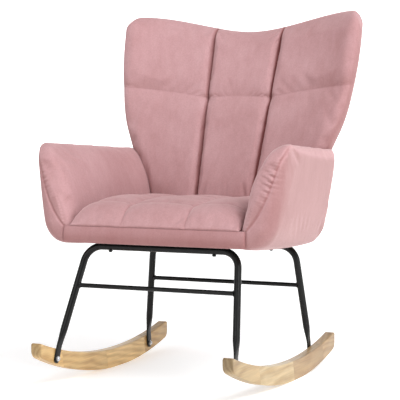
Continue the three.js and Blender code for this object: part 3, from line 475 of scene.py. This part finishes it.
# Seat frame: four planed pine timbers under a plywood deck; the arms and the back have plywood boards
# inside. None of it shows once the cover is on.
made = pine, _, add, _ = shader("planed_pine", 0.6)
place = add("ShaderNodeMapping", Vector=add("ShaderNodeTexCoord", out=3), Scale=(3, 30, 30))
grain = add("ShaderNodeTexWave", out=1, Vector=place, Scale=1.2, Distortion=5.0, Detail=3.0)
two_tones(made, grain, (0.52, 0.32, 0.15), (0.76, 0.56, 0.33), grain, 0.2, 0.0004)
made = plywood, _, add, _ = shader("bare_plywood", 0.65)
place = add("ShaderNodeTexCoord", out=3)
plies = add("ShaderNodeTexWave", out=1, Vector=place, Scale=180.0, Distortion=0.6, set_bands_direction="Z")
figure = add("ShaderNodeTexNoise", Scale=6.0, Detail=5.0,
             Vector=add("ShaderNodeMapping", Vector=place, Scale=(1, 8, 8)))
mixed = add("ShaderNodeMix", out=0, i0=0.6, i2=plies, i3=figure)
two_tones(made, mixed, (0.34, 0.21, 0.11), (0.66, 0.47, 0.28), figure, 0.2, 0.0003)
finish_nodes("seat_timber", pine)
finish_nodes(("arm_panel", "back_panel", "seat_deck"), plywood)

# Dust cover: thin black non-woven cloth, cut flat and stapled under the seat frame, where it keeps the
# stuffing in. Its solid stays as it is and gets its finish here.
made = cloth, _, add, _ = shader("dust_cloth", 0.95)
fibre = add("ShaderNodeTexNoise", Vector=add("ShaderNodeTexCoord", out=3), Scale=420.0, Detail=6.0,
            Roughness=0.7)
two_tones(made, fibre, (0.006, 0.006, 0.006), (0.035, 0.035, 0.036), fibre, 0.4, 0.0003)
finish_nodes("dust_cover", cloth)

# Arms: foam over a plywood board in one velvet cover. The outer panel wraps round the front and is sewn to
# the inner panel, which is gathered to it in small puckers where the arm curves over.
seat_front, arm_rear = -0.312, 0.220
seat_half_front, seat_half_rear = 0.243, 0.215
rail_front, rail_rear = (corner[2] + tube + fit_gap for corner in (front_corner, rear_corner))
seat_slope = (rail_front - rail_rear) / (rear_corner[1] - front_corner[1])
arm_half, arm_lean, arm_top, arm_drop = 0.365, 0.052, 0.646, 0.024
arm_crest, arm_foot, arm_front_round, arm_rear_round = 0.011, 0.036, 0.042, 0.045


def underside(y):
    """Height of the plane on top of the two rails, which slopes down to the rear."""
    return rail_front - seat_slope * (y - front_corner[1])


def dome(t):
    """A half circle: 1 at 0, falling to 0 at -1 and 1."""
    return np.sqrt(np.clip(1 - t * t, 0, None))


def quarter(t):
    """A quarter round: 1 at 0, falling to 0 at 1."""
    return 1 - dome(1 - np.clip(t, 0, 1))


def arm_inner(share):
    """Half width to the arm's inner side at a share of its height: upright at the seat, flaring out above."""
    t = np.clip((share - 0.17) / 0.83, 0, 1)
    flare = 1 - np.sqrt(1 - t ** 2.6)
    return seat_half_front + (arm_half - arm_crest - seat_half_front) * (flare + (t - flare) * 0.36)


def arm_outer(share):
    """Half width to the arm's outer side: leaning out, rounded at the foot and at the crest."""
    return (arm_half - arm_lean * (1 - share ** 0.6) - arm_foot * quarter(share / 0.2)
            - arm_crest * quarter((1 - share) / 0.15))


def arm_sections():
    """Rings round the arm from front to rear: inner side up, crest, outer side down. Both ends draw in along
    quarter rounds, and the crest falls a little towards them."""
    t = np.concatenate([np.linspace(0, 0.1, 16), np.linspace(0.1, 0.9, 26)[1:-1], np.linspace(0.9, 1, 14)])
    t = t[:, None]
    length = arm_rear - seat_front
    front, rear = quarter(t * length / arm_front_round), quarter((1 - t) * length / arm_rear_round)
    share = np.linspace(0, 0.985, 44)[None]
    inner = arm_inner(share) + (seat_half_rear - seat_half_front) * t + 0.017 * quarter(t * length / 0.022)
    outer = arm_outer(share) - 0.043 * t - 0.031 * front - 0.045 * rear
    outer = np.maximum(outer, inner + 0.016 - 0.013 * share)
    share = np.broadcast_to(share, inner.shape)
    lean_back = 0.014 * ease(share) + 0.036 * quarter((1 - share) / 0.16)
    y = seat_front + lean_back + (length - lean_back) * t
    base = underside(y) - 0.008 * np.sqrt(np.abs(np.sin(math.pi * t)))
    z = base + (arm_top - arm_drop * t - base) * share * (1 - 0.06 * front - 0.09 * rear)
    up = np.stack([inner, y, z], axis=-1)
    down = np.stack([outer, y, z], axis=-1)[:, ::-1]
    return np.concatenate([up, down], axis=1)


def baked(piece):
    """Swaps the piece's mesh for what its modifiers make of it, and drops them."""
    graph = bpy.context.evaluated_depsgraph_get()
    made = bpy.data.meshes.new_from_object(piece.evaluated_get(graph))
    piece.modifiers.clear()
    old, piece.data = piece.data, made
    bpy.data.meshes.remove(old)
    return piece


def points_of(mesh):
    """The mesh's vertices as an array."""
    co = np.empty(len(mesh.vertices) * 3)
    mesh.vertices.foreach_get("co", co)
    return co.reshape(-1, 3)


def normals_of(mesh):
    """The mesh's vertex normals as an array."""
    away = np.empty(len(mesh.vertices) * 3, np.float32)
    mesh.vertex_normals.foreach_get("vector", away)
    return away.reshape(-1, 3).astype(float)


def settle(piece, held, pressure, slack, cap, frames=20):
    """Cloth: the cover, cut larger by the slack, swells under inner pressure while the held points stay. The
    piece's mesh takes the new places, none further from its old one than the cap."""
    start = points_of(piece.data)
    group = piece.vertex_groups.new(name="held")
    group.add(np.flatnonzero(held).tolist(), 1.0, "REPLACE")
    cloth_cover = piece.modifiers.new("cover", "CLOTH")
    setting = cloth_cover.settings
    setting.quality = 5
    setting.mass = 0.3
    setting.tension_stiffness = setting.compression_stiffness = 12
    setting.shear_stiffness = 5
    setting.bending_stiffness = 0.4
    setting.use_pressure = True
    setting.uniform_pressure_force = pressure
    setting.shrink_min = setting.shrink_max = -slack
    setting.vertex_group_mass = "held"
    setting.effector_weights.gravity = 0
    cloth_cover.collision_settings.use_collision = False
    for step in range(1, frames + 1):
        bpy.context.scene.frame_set(step)
    graph = bpy.context.evaluated_depsgraph_get()
    moved = points_of(piece.evaluated_get(graph).data) - start
    piece.modifiers.remove(cloth_cover)
    piece.vertex_groups.remove(group)
    bpy.context.scene.frame_set(1)
    far = np.linalg.norm(moved, axis=1, keepdims=True)
    moved *= np.minimum(1, cap / np.maximum(far, 1e-9))
    piece.data.vertices.foreach_set("co", (start + moved).ravel())
    piece.data.update()


def along_line(points, line):
    """Distance of each point to a line of straight pieces, and how far along it the nearest place lies."""
    best = np.full(len(points), np.inf)
    where = np.zeros(len(points))
    run = 0.0
    for a, b in zip(line[:-1], line[1:]):
        step = b - a
        size = np.linalg.norm(step)
        t = np.clip((points - a) @ step / size ** 2, 0, 1)
        d = np.linalg.norm(points - a - t[:, None] * step, axis=1)
        near = d < best
        best = np.where(near, d, best)
        where = np.where(near, run + t * size, where)
        run += size
    return best, where


def velvet():
    """Dusty pink pile: broad patches that lie lighter and darker, a close mottle, painted shade where the
    cover faces ahead or down and painted light where it faces up, and painted red-brown shade, with less
    sheen, where the piece's painted shade value is high, in seams, puckers and over the front band. The
    pile's tips catch light at a slant."""
    pile, surface, add, link = shader("pink_velvet", 0.85)
    place = add("ShaderNodeTexCoord", out=3)
    nap_and_facing_shade = add("ShaderNodeTexNoise", Vector=place, Scale=5.5, Detail=3.0, Roughness=0.5)
    brushed = add("ShaderNodeTexNoise", Scale=1.0, Detail=4.0, Roughness=0.6,
                  Vector=add("ShaderNodeMapping", Vector=place, Scale=(46, 46, 15)))
    mottle = add("ShaderNodeTexNoise", Vector=place, Scale=260.0, Detail=3.0, Roughness=0.6)
    tips = add("ShaderNodeTexNoise", Vector=place, Scale=1900.0, Detail=2.0)
    broad = add("ShaderNodeMix", out=0, i0=0.4, i2=nap_and_facing_shade, i3=brushed)
    ramp = add("ShaderNodeValToRGB", Fac=broad)
    band = ramp.node.color_ramp
    band.elements[0].position, band.elements[0].color = 0.32, (0.376, 0.199, 0.201, 1)
    band.elements[1].position, band.elements[1].color = 0.68, (0.462, 0.271, 0.279, 1)
    fine = add("ShaderNodeMapRange", Value=mottle, From_Min=0.3, From_Max=0.7, To_Min=0.93, To_Max=1.06)
    painted_shade = add("ShaderNodeAttribute", out=2, set_attribute_name="painted_shade")
    # Painted shade and light: the cover is darker where it faces ahead or down and lighter where it faces up.
    shade_by_facing = add("ShaderNodeAttribute", out=2, set_attribute_name="nap_and_facing_shade")
    tone = add("ShaderNodeMix", out=2, set_data_type="RGBA", i0=shade_by_facing, i6=(0.77, 0.70, 0.68, 1),
               i7=(1.10, 1.11, 1.12, 1))
    shaded_by_facing = add("ShaderNodeVectorMath", set_operation="MULTIPLY", i0=ramp, i1=tone)
    open_pile = add("ShaderNodeVectorMath", set_operation="SCALE", i0=shaded_by_facing, Scale=fine)
    # Painted shade: dark red-brown mixed in, with less sheen, where the painted shade value is high, in
    # seams, puckers and over the front band.
    depth = add("ShaderNodeMapRange", Value=painted_shade, To_Min=0.0, To_Max=0.9)
    shaded_pile = add("ShaderNodeMix", out=2, set_data_type="RGBA", i0=depth, i6=open_pile,
                 i7=(0.21, 0.050, 0.043, 1))
    link(shaded_pile, surface.inputs["Base Color"])
    link(add("ShaderNodeMapRange", Value=painted_shade, To_Min=0.55, To_Max=0.05), surface.inputs["Sheen Weight"])
    surface.inputs["Sheen Roughness"].default_value = 0.42
    surface.inputs["Sheen Tint"].default_value = (1.0, 0.80, 0.80, 1)
    surface.inputs["Specular IOR Level"].default_value = 0.2
    ripple = add("ShaderNodeBump", Strength=0.35, Distance=0.0012, Height=brushed)
    link(add("ShaderNodeBump", Strength=0.3, Distance=0.0004, Height=tips, Normal=ripple),
         surface.inputs["Normal"])
    return pile


def set_painted_shade(mesh, values):
    """Keeps one number a vertex, 0 on open cover and 1 deep in a seam: how much painted shade the cover's
    colour gets there.
    """
    kept = mesh.attributes.new("painted_shade", "FLOAT", "POINT")
    kept.data.foreach_set("value", np.clip(values, 0, 1).astype(np.float32))


def soft_piece(name, mesh, node, tilt=1.0):
    """A velvet piece in place of its CAD solids, riding with the chair. It keeps how far each place faces up,
    0 to 1, which sets painted shade on the cover where it faces ahead or down and painted light where it
    faces up. A small tilt evens that out over the piece."""
    piece = place_piece(name, mesh, pink)
    kept = mesh.attributes.get("nap_and_facing_shade") or mesh.attributes.new("nap_and_facing_shade", "FLOAT", "POINT")
    # Painted shade and light: how far the place faces up, kept for the cover's colour.
    kept.data.foreach_set("value", ease((tilt * normals_of(mesh)[:, 2] + 0.15) / 0.4).astype(np.float32))
    stand_for(piece, node)


def arm_share_of(points):
    """Height of each point in the arm: 0 on the rails, 1 at the crest."""
    foot = underside(points[:, 1])
    return (points[:, 2] - foot) / (arm_top - foot)


def on_front_face(points, normals):
    """Distance to the seam over the front of the arm, seen from ahead, and the run along it; points elsewhere
    are far from it."""
    gap, run = along_line(points[:, [0, 2]], arm_seam)
    ahead = (points[:, 1] < -0.2) & (normals[:, 1] < -0.12)
    return np.where(ahead, gap, 1.0), run


pink = velvet()
arm_seam = np.array([(0.360, 0.642), (0.352, 0.612), (0.343, 0.590), (0.330, 0.552), (0.318, 0.515),
                     (0.306, 0.487), (0.292, 0.460), (0.275, 0.436), (0.261, 0.421), (0.2605, 0.395),
                     (0.260, 0.368)])
arm_shape = place_piece("arm_shape", sheet_mesh("arm_shape", arm_sections(), closed=True, caps=True), pink)
arm_mesher = arm_shape.modifiers.new("even_mesh", "REMESH")
arm_mesher.mode, arm_mesher.voxel_size = "VOXEL", 0.005
arm_smoother = arm_shape.modifiers.new("soften", "SMOOTH")
arm_smoother.factor, arm_smoother.iterations = 0.5, 6
baked(arm_shape)
arm_points = points_of(arm_shape.data)
arm_seam_gap, arm_seam_run = on_front_face(arm_points, normals_of(arm_shape.data))
arm_share = arm_share_of(arm_points)
arm_held = (arm_seam_gap < 0.004) | (arm_share < 0.03) | ((arm_share < 0.18) & (arm_points[:, 0] < 0.25))
settle(arm_shape, arm_held, pressure=2.5, slack=0.0, cap=0.004)
arm_presser = arm_shape.modifiers.new("pressed", "SMOOTH")
arm_presser.factor, arm_presser.iterations = 0.5, 10
arm_finer = arm_shape.modifiers.new("finer", "SUBSURF")
arm_finer.levels = arm_finer.render_levels = 1
baked(arm_shape)
arm_points, arm_normals = points_of(arm_shape.data), normals_of(arm_shape.data)
arm_seam_gap, arm_seam_run = on_front_face(arm_points, arm_normals)
arm_on_inner = arm_points[:, 0] < np.interp(arm_points[:, 2], arm_seam[::-1, 1], arm_seam[::-1, 0])
arm_gather = np.where(arm_on_inner, 1.0, 0.15) * np.exp(-arm_seam_gap / 0.014) \
    * ease((arm_seam_run - 0.03) / 0.03) * ease((0.19 - arm_seam_run) / 0.06)
arm_turn = 2 * math.pi * arm_seam_run
arm_pucker = 0.7 * np.sin(arm_turn / 0.018 + 2.1 * np.sin(arm_seam_run * 57) + arm_seam_gap * 90) \
    + 0.3 * np.sin(arm_turn / 0.0083 + 0.7 - arm_seam_gap * 70)
arm_pucker *= 0.65 + 0.35 * np.sin(arm_seam_run * 71 + 0.6)
arm_groove = np.exp(-(arm_seam_gap / 0.0028) ** 2) * ease(arm_seam_run / 0.02)
arm_share = arm_share_of(arm_points)
arm_full = ease(np.where(arm_normals[:, 0] > -0.2, arm_share / 0.2, arm_share / 0.3 - 1))
arm_points += arm_normals * (0.002 * arm_full)[:, None]
for hand, side, fullness in (("right", -1, 0.0010), ("left", 1, 0.0036)):
    arm_mesh = arm_shape.data.copy()
    arm_mesh.name = f"arm_pad_{hand}"
    arm_raised = fullness * arm_gather * arm_pucker - 0.0022 * arm_groove
    arm_places = (arm_points + arm_normals * arm_raised[:, None]) * np.array([side, 1, 1])
    arm_mesh.vertices.foreach_set("co", (arm_places + np.array([0, stand, 0])).ravel())
    arm_mesh.update()
    # Painted shade along the seam's groove and in the hollows of the puckers.
    set_painted_shade(arm_mesh, 0.28 * arm_groove + 50 * fullness * arm_gather * ease(-arm_pucker))
    soft_piece(f"arm_pad_{hand}", arm_mesh, f"arm_{hand}")
bpy.data.objects.remove(arm_shape)

# Seat cushion: one velvet cover over foam on the deck, stitched down along two channels that run back from
# the front seam and two across, with a tuft where they meet at the crest.
dust_cover, timber, deck = 0.001, 0.030, 0.009
band_depth, band_height = 0.024, 0.421
deck_top = dust_cover + timber + 2 * fit_gap + deck
back_foot, back_puff = 0.150, 0.020
seat_channel, seat_rear = 0.091, back_foot - back_puff + fit_gap
seat_cross = np.array([seat_front, -0.233, -0.052, seat_rear])


def through(pairs, place):
    """A smooth line through (place, value) pairs, each stretch a cubic whose end slopes are those of its
    neighbours."""
    x, y = np.array(pairs, float).T
    last = len(x) - 1
    before, after = np.maximum(np.arange(len(x)) - 1, 0), np.minimum(np.arange(len(x)) + 1, last)
    slope = (y[after] - y[before]) / (x[after] - x[before])
    k = np.clip(np.searchsorted(x, place, side="left") - 1, 0, last - 1)
    h = x[k + 1] - x[k]
    t = np.clip((place - x[k]) / h, 0, 1)
    return ((2 * t ** 3 - 3 * t ** 2 + 1) * y[k] + (t ** 3 - 2 * t ** 2 + t) * slope[k] * h
            + (3 * t ** 2 - 2 * t ** 3) * y[k + 1] + (t ** 3 - t ** 2) * slope[k + 1] * h)


def seat_half(y):
    """Half the width between the arms, which run in towards the rear."""
    return seat_half_front + (seat_half_rear - seat_half_front) * (y - seat_front) / (arm_rear - seat_front)


def seat_cover(s, r):
    """The seat's top over a grid. s runs -2 at one arm, -1 and 1 on the channels, 2 at the other; r runs 0 at
    the front seam, 1 and 2 on the cross seams, 3 at the back. Each field swells like a half round."""
    row = np.minimum(2, np.floor(r)).astype(int)
    y = seat_cross[row] + (seat_cross[row + 1] - seat_cross[row]) * (r - row)
    edge = seat_half(y) - 0.001
    beyond = np.abs(s) - 1
    x = np.where(np.abs(s) < 1, s * seat_channel,
                 np.sign(s) * (seat_channel + (edge - seat_channel) * beyond))
    across = np.where(np.abs(s) < 1, dome(s), dome(2 * (np.abs(s) - 1.5)) ** 0.8)
    along = dome(2 * (r - row) - 1) ** 0.8
    behind = y - seat_front
    middle = through([(0, .424), (.014, .442), (.034, .459), (.058, .470), (.079, .474), (.162, .479),
                      (.260, .478), (.372, .472), (.442, .464)], behind)
    side = through([(0, .422), (.079, .446), (.162, .452), (.442, .452)], behind)
    slope = np.where(np.abs(s) < 1, 0, quarter((2 - np.abs(s)) / 0.45))
    z = middle + (side - middle) * slope + 0.013 * across * (0.35 + 0.65 * along)
    tuft = np.exp(-((np.abs(x) - seat_channel) ** 2 + (y - seat_cross[1]) ** 2) / 0.011 ** 2)
    return np.stack([x, y, z - 0.006 * tuft], axis=-1)


def fold_under(top, floor_height):
    """Closes a top grid with a flat underside over the same outline."""
    below = top.copy()
    below[..., 2] = floor_height(top[..., 1])
    return below


def padded_mesh(name, face, lining):
    """Two grids of one size joined round their rims into a closed pad."""
    rows, columns = face.shape[:2]
    index = np.arange(rows * columns).reshape(rows, columns)

    def quads(grid, flip):
        q = np.stack([grid[:-1, :-1], grid[:-1, 1:], grid[1:, 1:], grid[1:, :-1]], axis=-1).reshape(-1, 4)
        return q[:, ::-1] if flip else q

    rim = np.concatenate([index[0, :-1], index[:-1, -1], index[-1, :0:-1], index[:0:-1, 0]])
    other = rim + rows * columns
    wall = np.stack([np.roll(rim, -1), rim, other, np.roll(other, -1)], axis=-1)
    faces = np.concatenate([quads(index, False), quads(index + rows * columns, True), wall])
    mesh = bpy.data.meshes.new(name)
    places = np.concatenate([face.reshape(-1, 3), lining.reshape(-1, 3)])
    mesh.from_pydata(places.tolist(), [], faces.tolist())
    mesh.update()
    return mesh


def packed_lines(marks, spacing):
    """Lines between the marks at about even spacing, closer towards each mark so that folds stay sharp."""
    lines = []
    for a, b in zip(marks[:-1], marks[1:]):
        n = max(6, int(round((b - a) / spacing)))
        t = (1 - np.cos(np.linspace(0, math.pi, n + 1))) / 2
        lines.append(a + (b - a) * (0.55 * t + 0.45 * np.linspace(0, 1, n + 1)))
    return np.concatenate([lines[0]] + [line[1:] for line in lines[1:]])


def settled_pad(name, face, lining, held, painted_shade, pressure, slack, cap):
    """A closed pad whose face is settled as cloth, its lining held, then moved to where the chair stands. Its
    face keeps the painted shade values."""
    pad = place_piece(name, padded_mesh(name, face, lining), pink)
    settle(pad, np.concatenate([held.ravel(), np.ones(held.size, bool)]), pressure, slack, cap)
    pad.data.vertices.foreach_set("co", (points_of(pad.data) + np.array([0, stand, 0])).ravel())
    pad.data.update()
    set_painted_shade(pad.data, np.concatenate([painted_shade.ravel(), np.zeros(painted_shade.size)]))
    return pad


def keep_pad(pad, name, node):
    """Puts the pad's mesh in the place of its CAD solid."""
    mesh = pad.data.copy()
    mesh.name = name
    bpy.data.objects.remove(pad)
    soft_piece(name, mesh, node)


def seat_floor(y):
    """The deck's top under the cushion, and the top of the front band ahead of it."""
    return np.where(y < seat_front + band_depth + 0.002, band_height + fit_gap,
                    underside(y) + deck_top + 2 * fit_gap)


seat_s = packed_lines([-2, -1, 1, 2], 0.045)
seat_r = packed_lines([0, 1, 2, 3], 0.04)
seat_s_grid, seat_r_grid = np.meshgrid(seat_s, seat_r)
seat_face = seat_cover(seat_s_grid, seat_r_grid)
seat_edge = (np.abs(seat_s_grid) > 1.97) | (seat_r_grid < 0.01) | (seat_r_grid > 2.97)
seat_sewn = (np.abs(np.abs(seat_s_grid) - 1) < 0.004) | (np.abs(seat_r_grid - 1) < 0.004) | \
    (np.abs(seat_r_grid - 2) < 0.004)
seat_from_channel = np.abs(np.abs(seat_face[..., 0]) - seat_channel)
seat_from_cross = np.abs(seat_face[..., 1, None] - seat_cross[1:3]).min(axis=-1)
# Painted shade along the stitched channels and the cross seams.
seat_painted_shade = 0.08 * np.exp(-seat_from_channel / 0.002) + 0.05 * np.exp(-seat_from_cross / 0.002)
seat_shape = settled_pad("seat_shape", seat_face, fold_under(seat_face, seat_floor), seat_edge | seat_sewn,
                         seat_painted_shade, pressure=3.0, slack=0.015, cap=0.004)
keep_pad(seat_shape, "seat_pad", "seat_cushion")

# Front band: a padded strip of the same velvet round the front of the seat frame, sewn to the cushion along
# its top and to the arms at its ends, and stapled under the rail.
band_half, band_edge = 0.2585, 0.012


def band_rings():
    """The strip's profile carried along X: flat behind and on top, bowed out in front, drawn in a little at
    both ends where the seams are."""
    round_end = band_half - band_edge * (1 - np.cos(np.linspace(math.pi / 2, 0, 8)))
    straight = np.linspace(band_edge - band_half, band_half - band_edge, 60)[1:-1]
    x = np.concatenate([-round_end[::-1], straight, round_end])[:, None]
    low, high = underside(seat_front) - 0.0005, band_height
    t = np.linspace(0, 1, 26)[None]
    drawn = 0.0022 * quarter((band_half - np.abs(x)) / 0.008)
    bow = 0.005 * np.sin(math.pi * t) - np.where(t < 0.5, 0.0008, 0.004) * (1 - dome(2 * t - 1))
    front_y = seat_front - bow + drawn + 0.0005 * np.sin(x * 55) * np.sin(math.pi * t)
    front_z = high + (low - high) * t + 0 * x
    rear_z = np.linspace(low, high, 8)[None] + 0 * x
    rear_y = np.full_like(rear_z, seat_front + band_depth)
    y, z = np.concatenate([front_y, rear_y], 1), np.concatenate([front_z, rear_z], 1)
    return np.stack([np.broadcast_to(x, y.shape), y + stand, z], axis=-1)


band_grid = band_rings()
band_mesh = sheet_mesh("band_pad", band_grid, closed=True, caps=True)
band_end = np.exp(-(band_half - np.abs(band_grid[..., 0])) / 0.002)
band_top = np.exp(-np.abs(band_grid[..., 2] - band_height) / 0.0025)
band_top *= band_grid[..., 1] < seat_front + stand + 0.01
# Painted shade over the whole band, more at its end seams and along its top seam.
set_painted_shade(band_mesh, (0.2 + 0.2 * band_end + 0.08 * band_top).ravel())
soft_piece("band_pad", band_mesh, "front_band", tilt=0.3)

# Back cushion: the front of the wing back, quilted in three channels by two rows. The vertical seams are
# pulled deep, the cross seam is shallow, and a tuft draws the cover in where they meet.
back_rake, back_rake_start, back_seam_height, back_rim = 0.398, 0.465, 0.761, 0.034
panel_setback, back_hem = 0.018, 0.001
wing_start, wrap_start, channel_share = 0.618, 0.410, 0.3
back_top_middle, back_top_wing, wing_peak = 0.961, 1.009, 0.9
channel_low, channel_top, channel_start = 0.088, 0.107, 0.490
back_width_line = [(.345, .225), (.465, .246), (.560, .284), (.618, .309), (.700, .341), (.798, .360),
                   (.900, .370), (1.010, .371)]


def back_half(z):
    """Half width of the back at a height, out to the wings' rims."""
    return through(back_width_line, z)


def back_line(z):
    """Depth of the back's front face at its middle: upright at the foot, raked above, a soft turn between."""
    rise = z - back_rake_start
    return back_foot + back_rake * (rise + np.hypot(rise, 0.040)) / 2


def back_wrap(x, z):
    """How far the wings come forward: a power of the share of the half width, growing with height."""
    reach = 0.036 + 0.176 * (z - wing_start)
    rise = ease((z - wrap_start) / (wing_start - wrap_start))
    return reach * rise * (np.abs(x) / back_half(z)) ** 2.1


def back_place(s, r, foot):
    """Across and up on the back's grid. s runs -2 at one rim, -1 and 1 on the channels, 2 at the other rim;
    r runs 0 at the foot, 1 on the cross seam, 2 at the top edge, which dips between the wings."""
    beyond = np.abs(s) - 1
    share = np.where(np.abs(s) < 1, np.abs(s) * channel_share, channel_share + (1 - channel_share) * beyond)
    seam = back_seam_height + np.where(np.abs(s) < 1, 0.008 * (1 - s * s),
                                       0.037 * np.clip(beyond, 0, 1) ** 0.7)
    top = back_top_middle + (back_top_wing - back_top_middle) * ease(share / wing_peak) \
        - 0.060 * quarter((1 - share) / (1 - wing_peak))
    z = np.where(r < 1, foot + (seam - foot) * r, seam + (top - seam) * (r - 1))
    channel = channel_low + (channel_top - channel_low) * np.clip(
        (z - channel_start) / (back_top_middle - channel_start), 0, 1)
    x = np.where(np.abs(s) < 1, s * channel, np.sign(s) * (channel + (back_half(z) - channel) * beyond))
    return x, z, channel


def rim_dome(s, r, x, z):
    """Roundness towards the rim: 0 at the edge, 1 where the full thickness starts."""
    side = np.where(np.abs(s) < 1, 1, (back_half(z) - np.abs(x)) / back_rim)
    top = np.where(r < 1, 1, (2 - r) * (back_top_middle - back_seam_height) / back_rim)
    return dome(1 - np.clip(np.minimum(side, top), 0, 1))


def quilt(s, r):
    """Swell of the quilting: a half round over the middle channel, rounds beside the outer seams, and a
    shallow dip along the cross seam."""
    beyond = np.clip((np.abs(s) - 1) / 0.32, 0, 1)
    across = (1 - np.where(np.abs(s) < 1, np.abs(s), 1 - beyond) ** 5) ** 0.18
    from_seam = np.clip(np.where(r < 1, (1 - r) / 0.2, (r - 1) / 0.26), 0, 1)
    return across * (0.72 + 0.28 * (1 - (1 - from_seam) ** 2))


back_foot_height = underside(back_foot - back_puff) + deck_top + 2 * fit_gap
back_s = packed_lines([-2, -1, 1, 2], 0.028)
back_r = packed_lines([0, 1, 2], 0.018)
back_s_grid, back_r_grid = np.meshgrid(back_s, back_r)
back_x, back_z, back_channel = back_place(back_s_grid, back_r_grid, back_foot_height)
back_depth = panel_setback - fit_gap - back_hem + back_puff * quilt(back_s_grid, back_r_grid)
back_tuft = np.exp(-((np.abs(back_x) - back_channel) ** 2 + (back_z - back_seam_height) ** 2) / 0.012 ** 2)
back_from_seam = np.abs(np.abs(back_x) - back_channel)
back_out = back_depth * rim_dome(back_s_grid, back_r_grid, back_x, back_z) - 0.006 * back_tuft \
    - 0.006 * np.exp(-(back_from_seam / 0.004) ** 2)
back_base = back_line(back_z) - back_wrap(back_x, back_z) + panel_setback - fit_gap
back_front = np.stack([back_x, back_base - back_hem - back_out, back_z], axis=-1)
back_lining = np.stack([back_x, back_base, back_z], axis=-1)
back_held = (np.abs(np.abs(back_s_grid) - 1) < 0.003) | (np.abs(back_s_grid) > 1.97) \
    | (back_r_grid > 1.97) | (back_r_grid < 0.02) | (np.abs(back_r_grid - 1) < 0.003)
# Painted shade, deep along the vertical seams and faint along the cross seam.
back_painted_shade = 0.95 * np.exp(-(back_from_seam / 0.0034) ** 2) \
    + 0.03 * np.exp(-np.abs(back_r_grid - 1) * 0.25 / 0.003)
back_shape = settled_pad("back_shape", back_front, back_lining, back_held, back_painted_shade,
                         pressure=3.0, slack=0.004, cap=0.004)


def trimmed(shape, cutters):
    """The shape with the room of its neighbours taken out, so that padded pieces press together and don't
    run into each other."""
    for cutter in cutters:
        trim = shape.modifiers.new("trim", "BOOLEAN")
        trim.operation, trim.solver, trim.object = "DIFFERENCE", "MANIFOLD", cutter
        baked(shape)
    return shape


def swollen(piece, room):
    """A copy of a piece grown outwards by a clearance, to trim its neighbours with."""
    mesh = piece.data.copy()
    grown = points_of(mesh) + normals_of(mesh) * room
    mesh.vertices.foreach_set("co", grown.ravel())
    mesh.update()
    copy = bpy.data.objects.new("cutter", mesh)
    bpy.context.scene.collection.objects.link(copy)
    return copy


arm_cutters = [swollen(bpy.data.objects[f"arm_pad_{hand}"], 0.0006) for hand in ("right", "left")]
trimmed(back_shape, arm_cutters)
keep_pad(back_shape, "back_pad", "back_cushion")

# Back cover: the plain outside of the back, padded thinly over the board, sewn to the front along the rim
# and stapled under the seat frame.
cover_low, cover_high, cover_tuck = 0.068, 0.050, 0.22
cover_foot_height = underside(arm_rear)
cover_s = packed_lines([-2, 2], 0.03)
cover_r = np.concatenate([np.linspace(-cover_tuck, 0, 12)[:-1], packed_lines([0, 2], 0.03)])
cover_s_grid, cover_r_grid = np.meshgrid(cover_s, cover_r)
cover_x, cover_z, _ = back_place(cover_s_grid, np.maximum(cover_r_grid, 0), back_foot_height)
cover_below = np.clip(-cover_r_grid / cover_tuck, 0, 1)
cover_z = cover_z + (cover_foot_height - back_foot_height) * cover_below
cover_x = np.where(cover_r_grid < 0, np.sign(cover_s_grid) * np.abs(cover_x) / back_half(back_foot_height)
                   * back_half(cover_z), cover_x)
cover_thick = cover_low + (cover_high - cover_low) * ease((cover_z - back_rake_start) / 0.150)
cover_round = rim_dome(cover_s_grid, np.maximum(cover_r_grid, 0), cover_x, cover_z)
cover_base = back_line(cover_z) - back_wrap(cover_x, cover_z) + panel_setback + fit_gap
cover_out = back_hem + (cover_thick - panel_setback - fit_gap - back_hem) * cover_round
cover_rear = np.stack([cover_x, cover_base + cover_out, cover_z], axis=-1)
cover_lining = np.stack([cover_x, cover_base, cover_z], axis=-1)
cover_held = (np.abs(cover_s_grid) > 1.96) | (cover_r_grid > 1.96) | (cover_r_grid < -0.2)
cover_shape = settled_pad("cover_shape", cover_rear, cover_lining, cover_held, np.zeros(cover_held.shape),
                          pressure=2.0, slack=0.006, cap=0.003)
trimmed(cover_shape, arm_cutters)
for cutter in arm_cutters:
    bpy.data.objects.remove(cutter)
keep_pad(cover_shape, "back_shell", "back_cover")
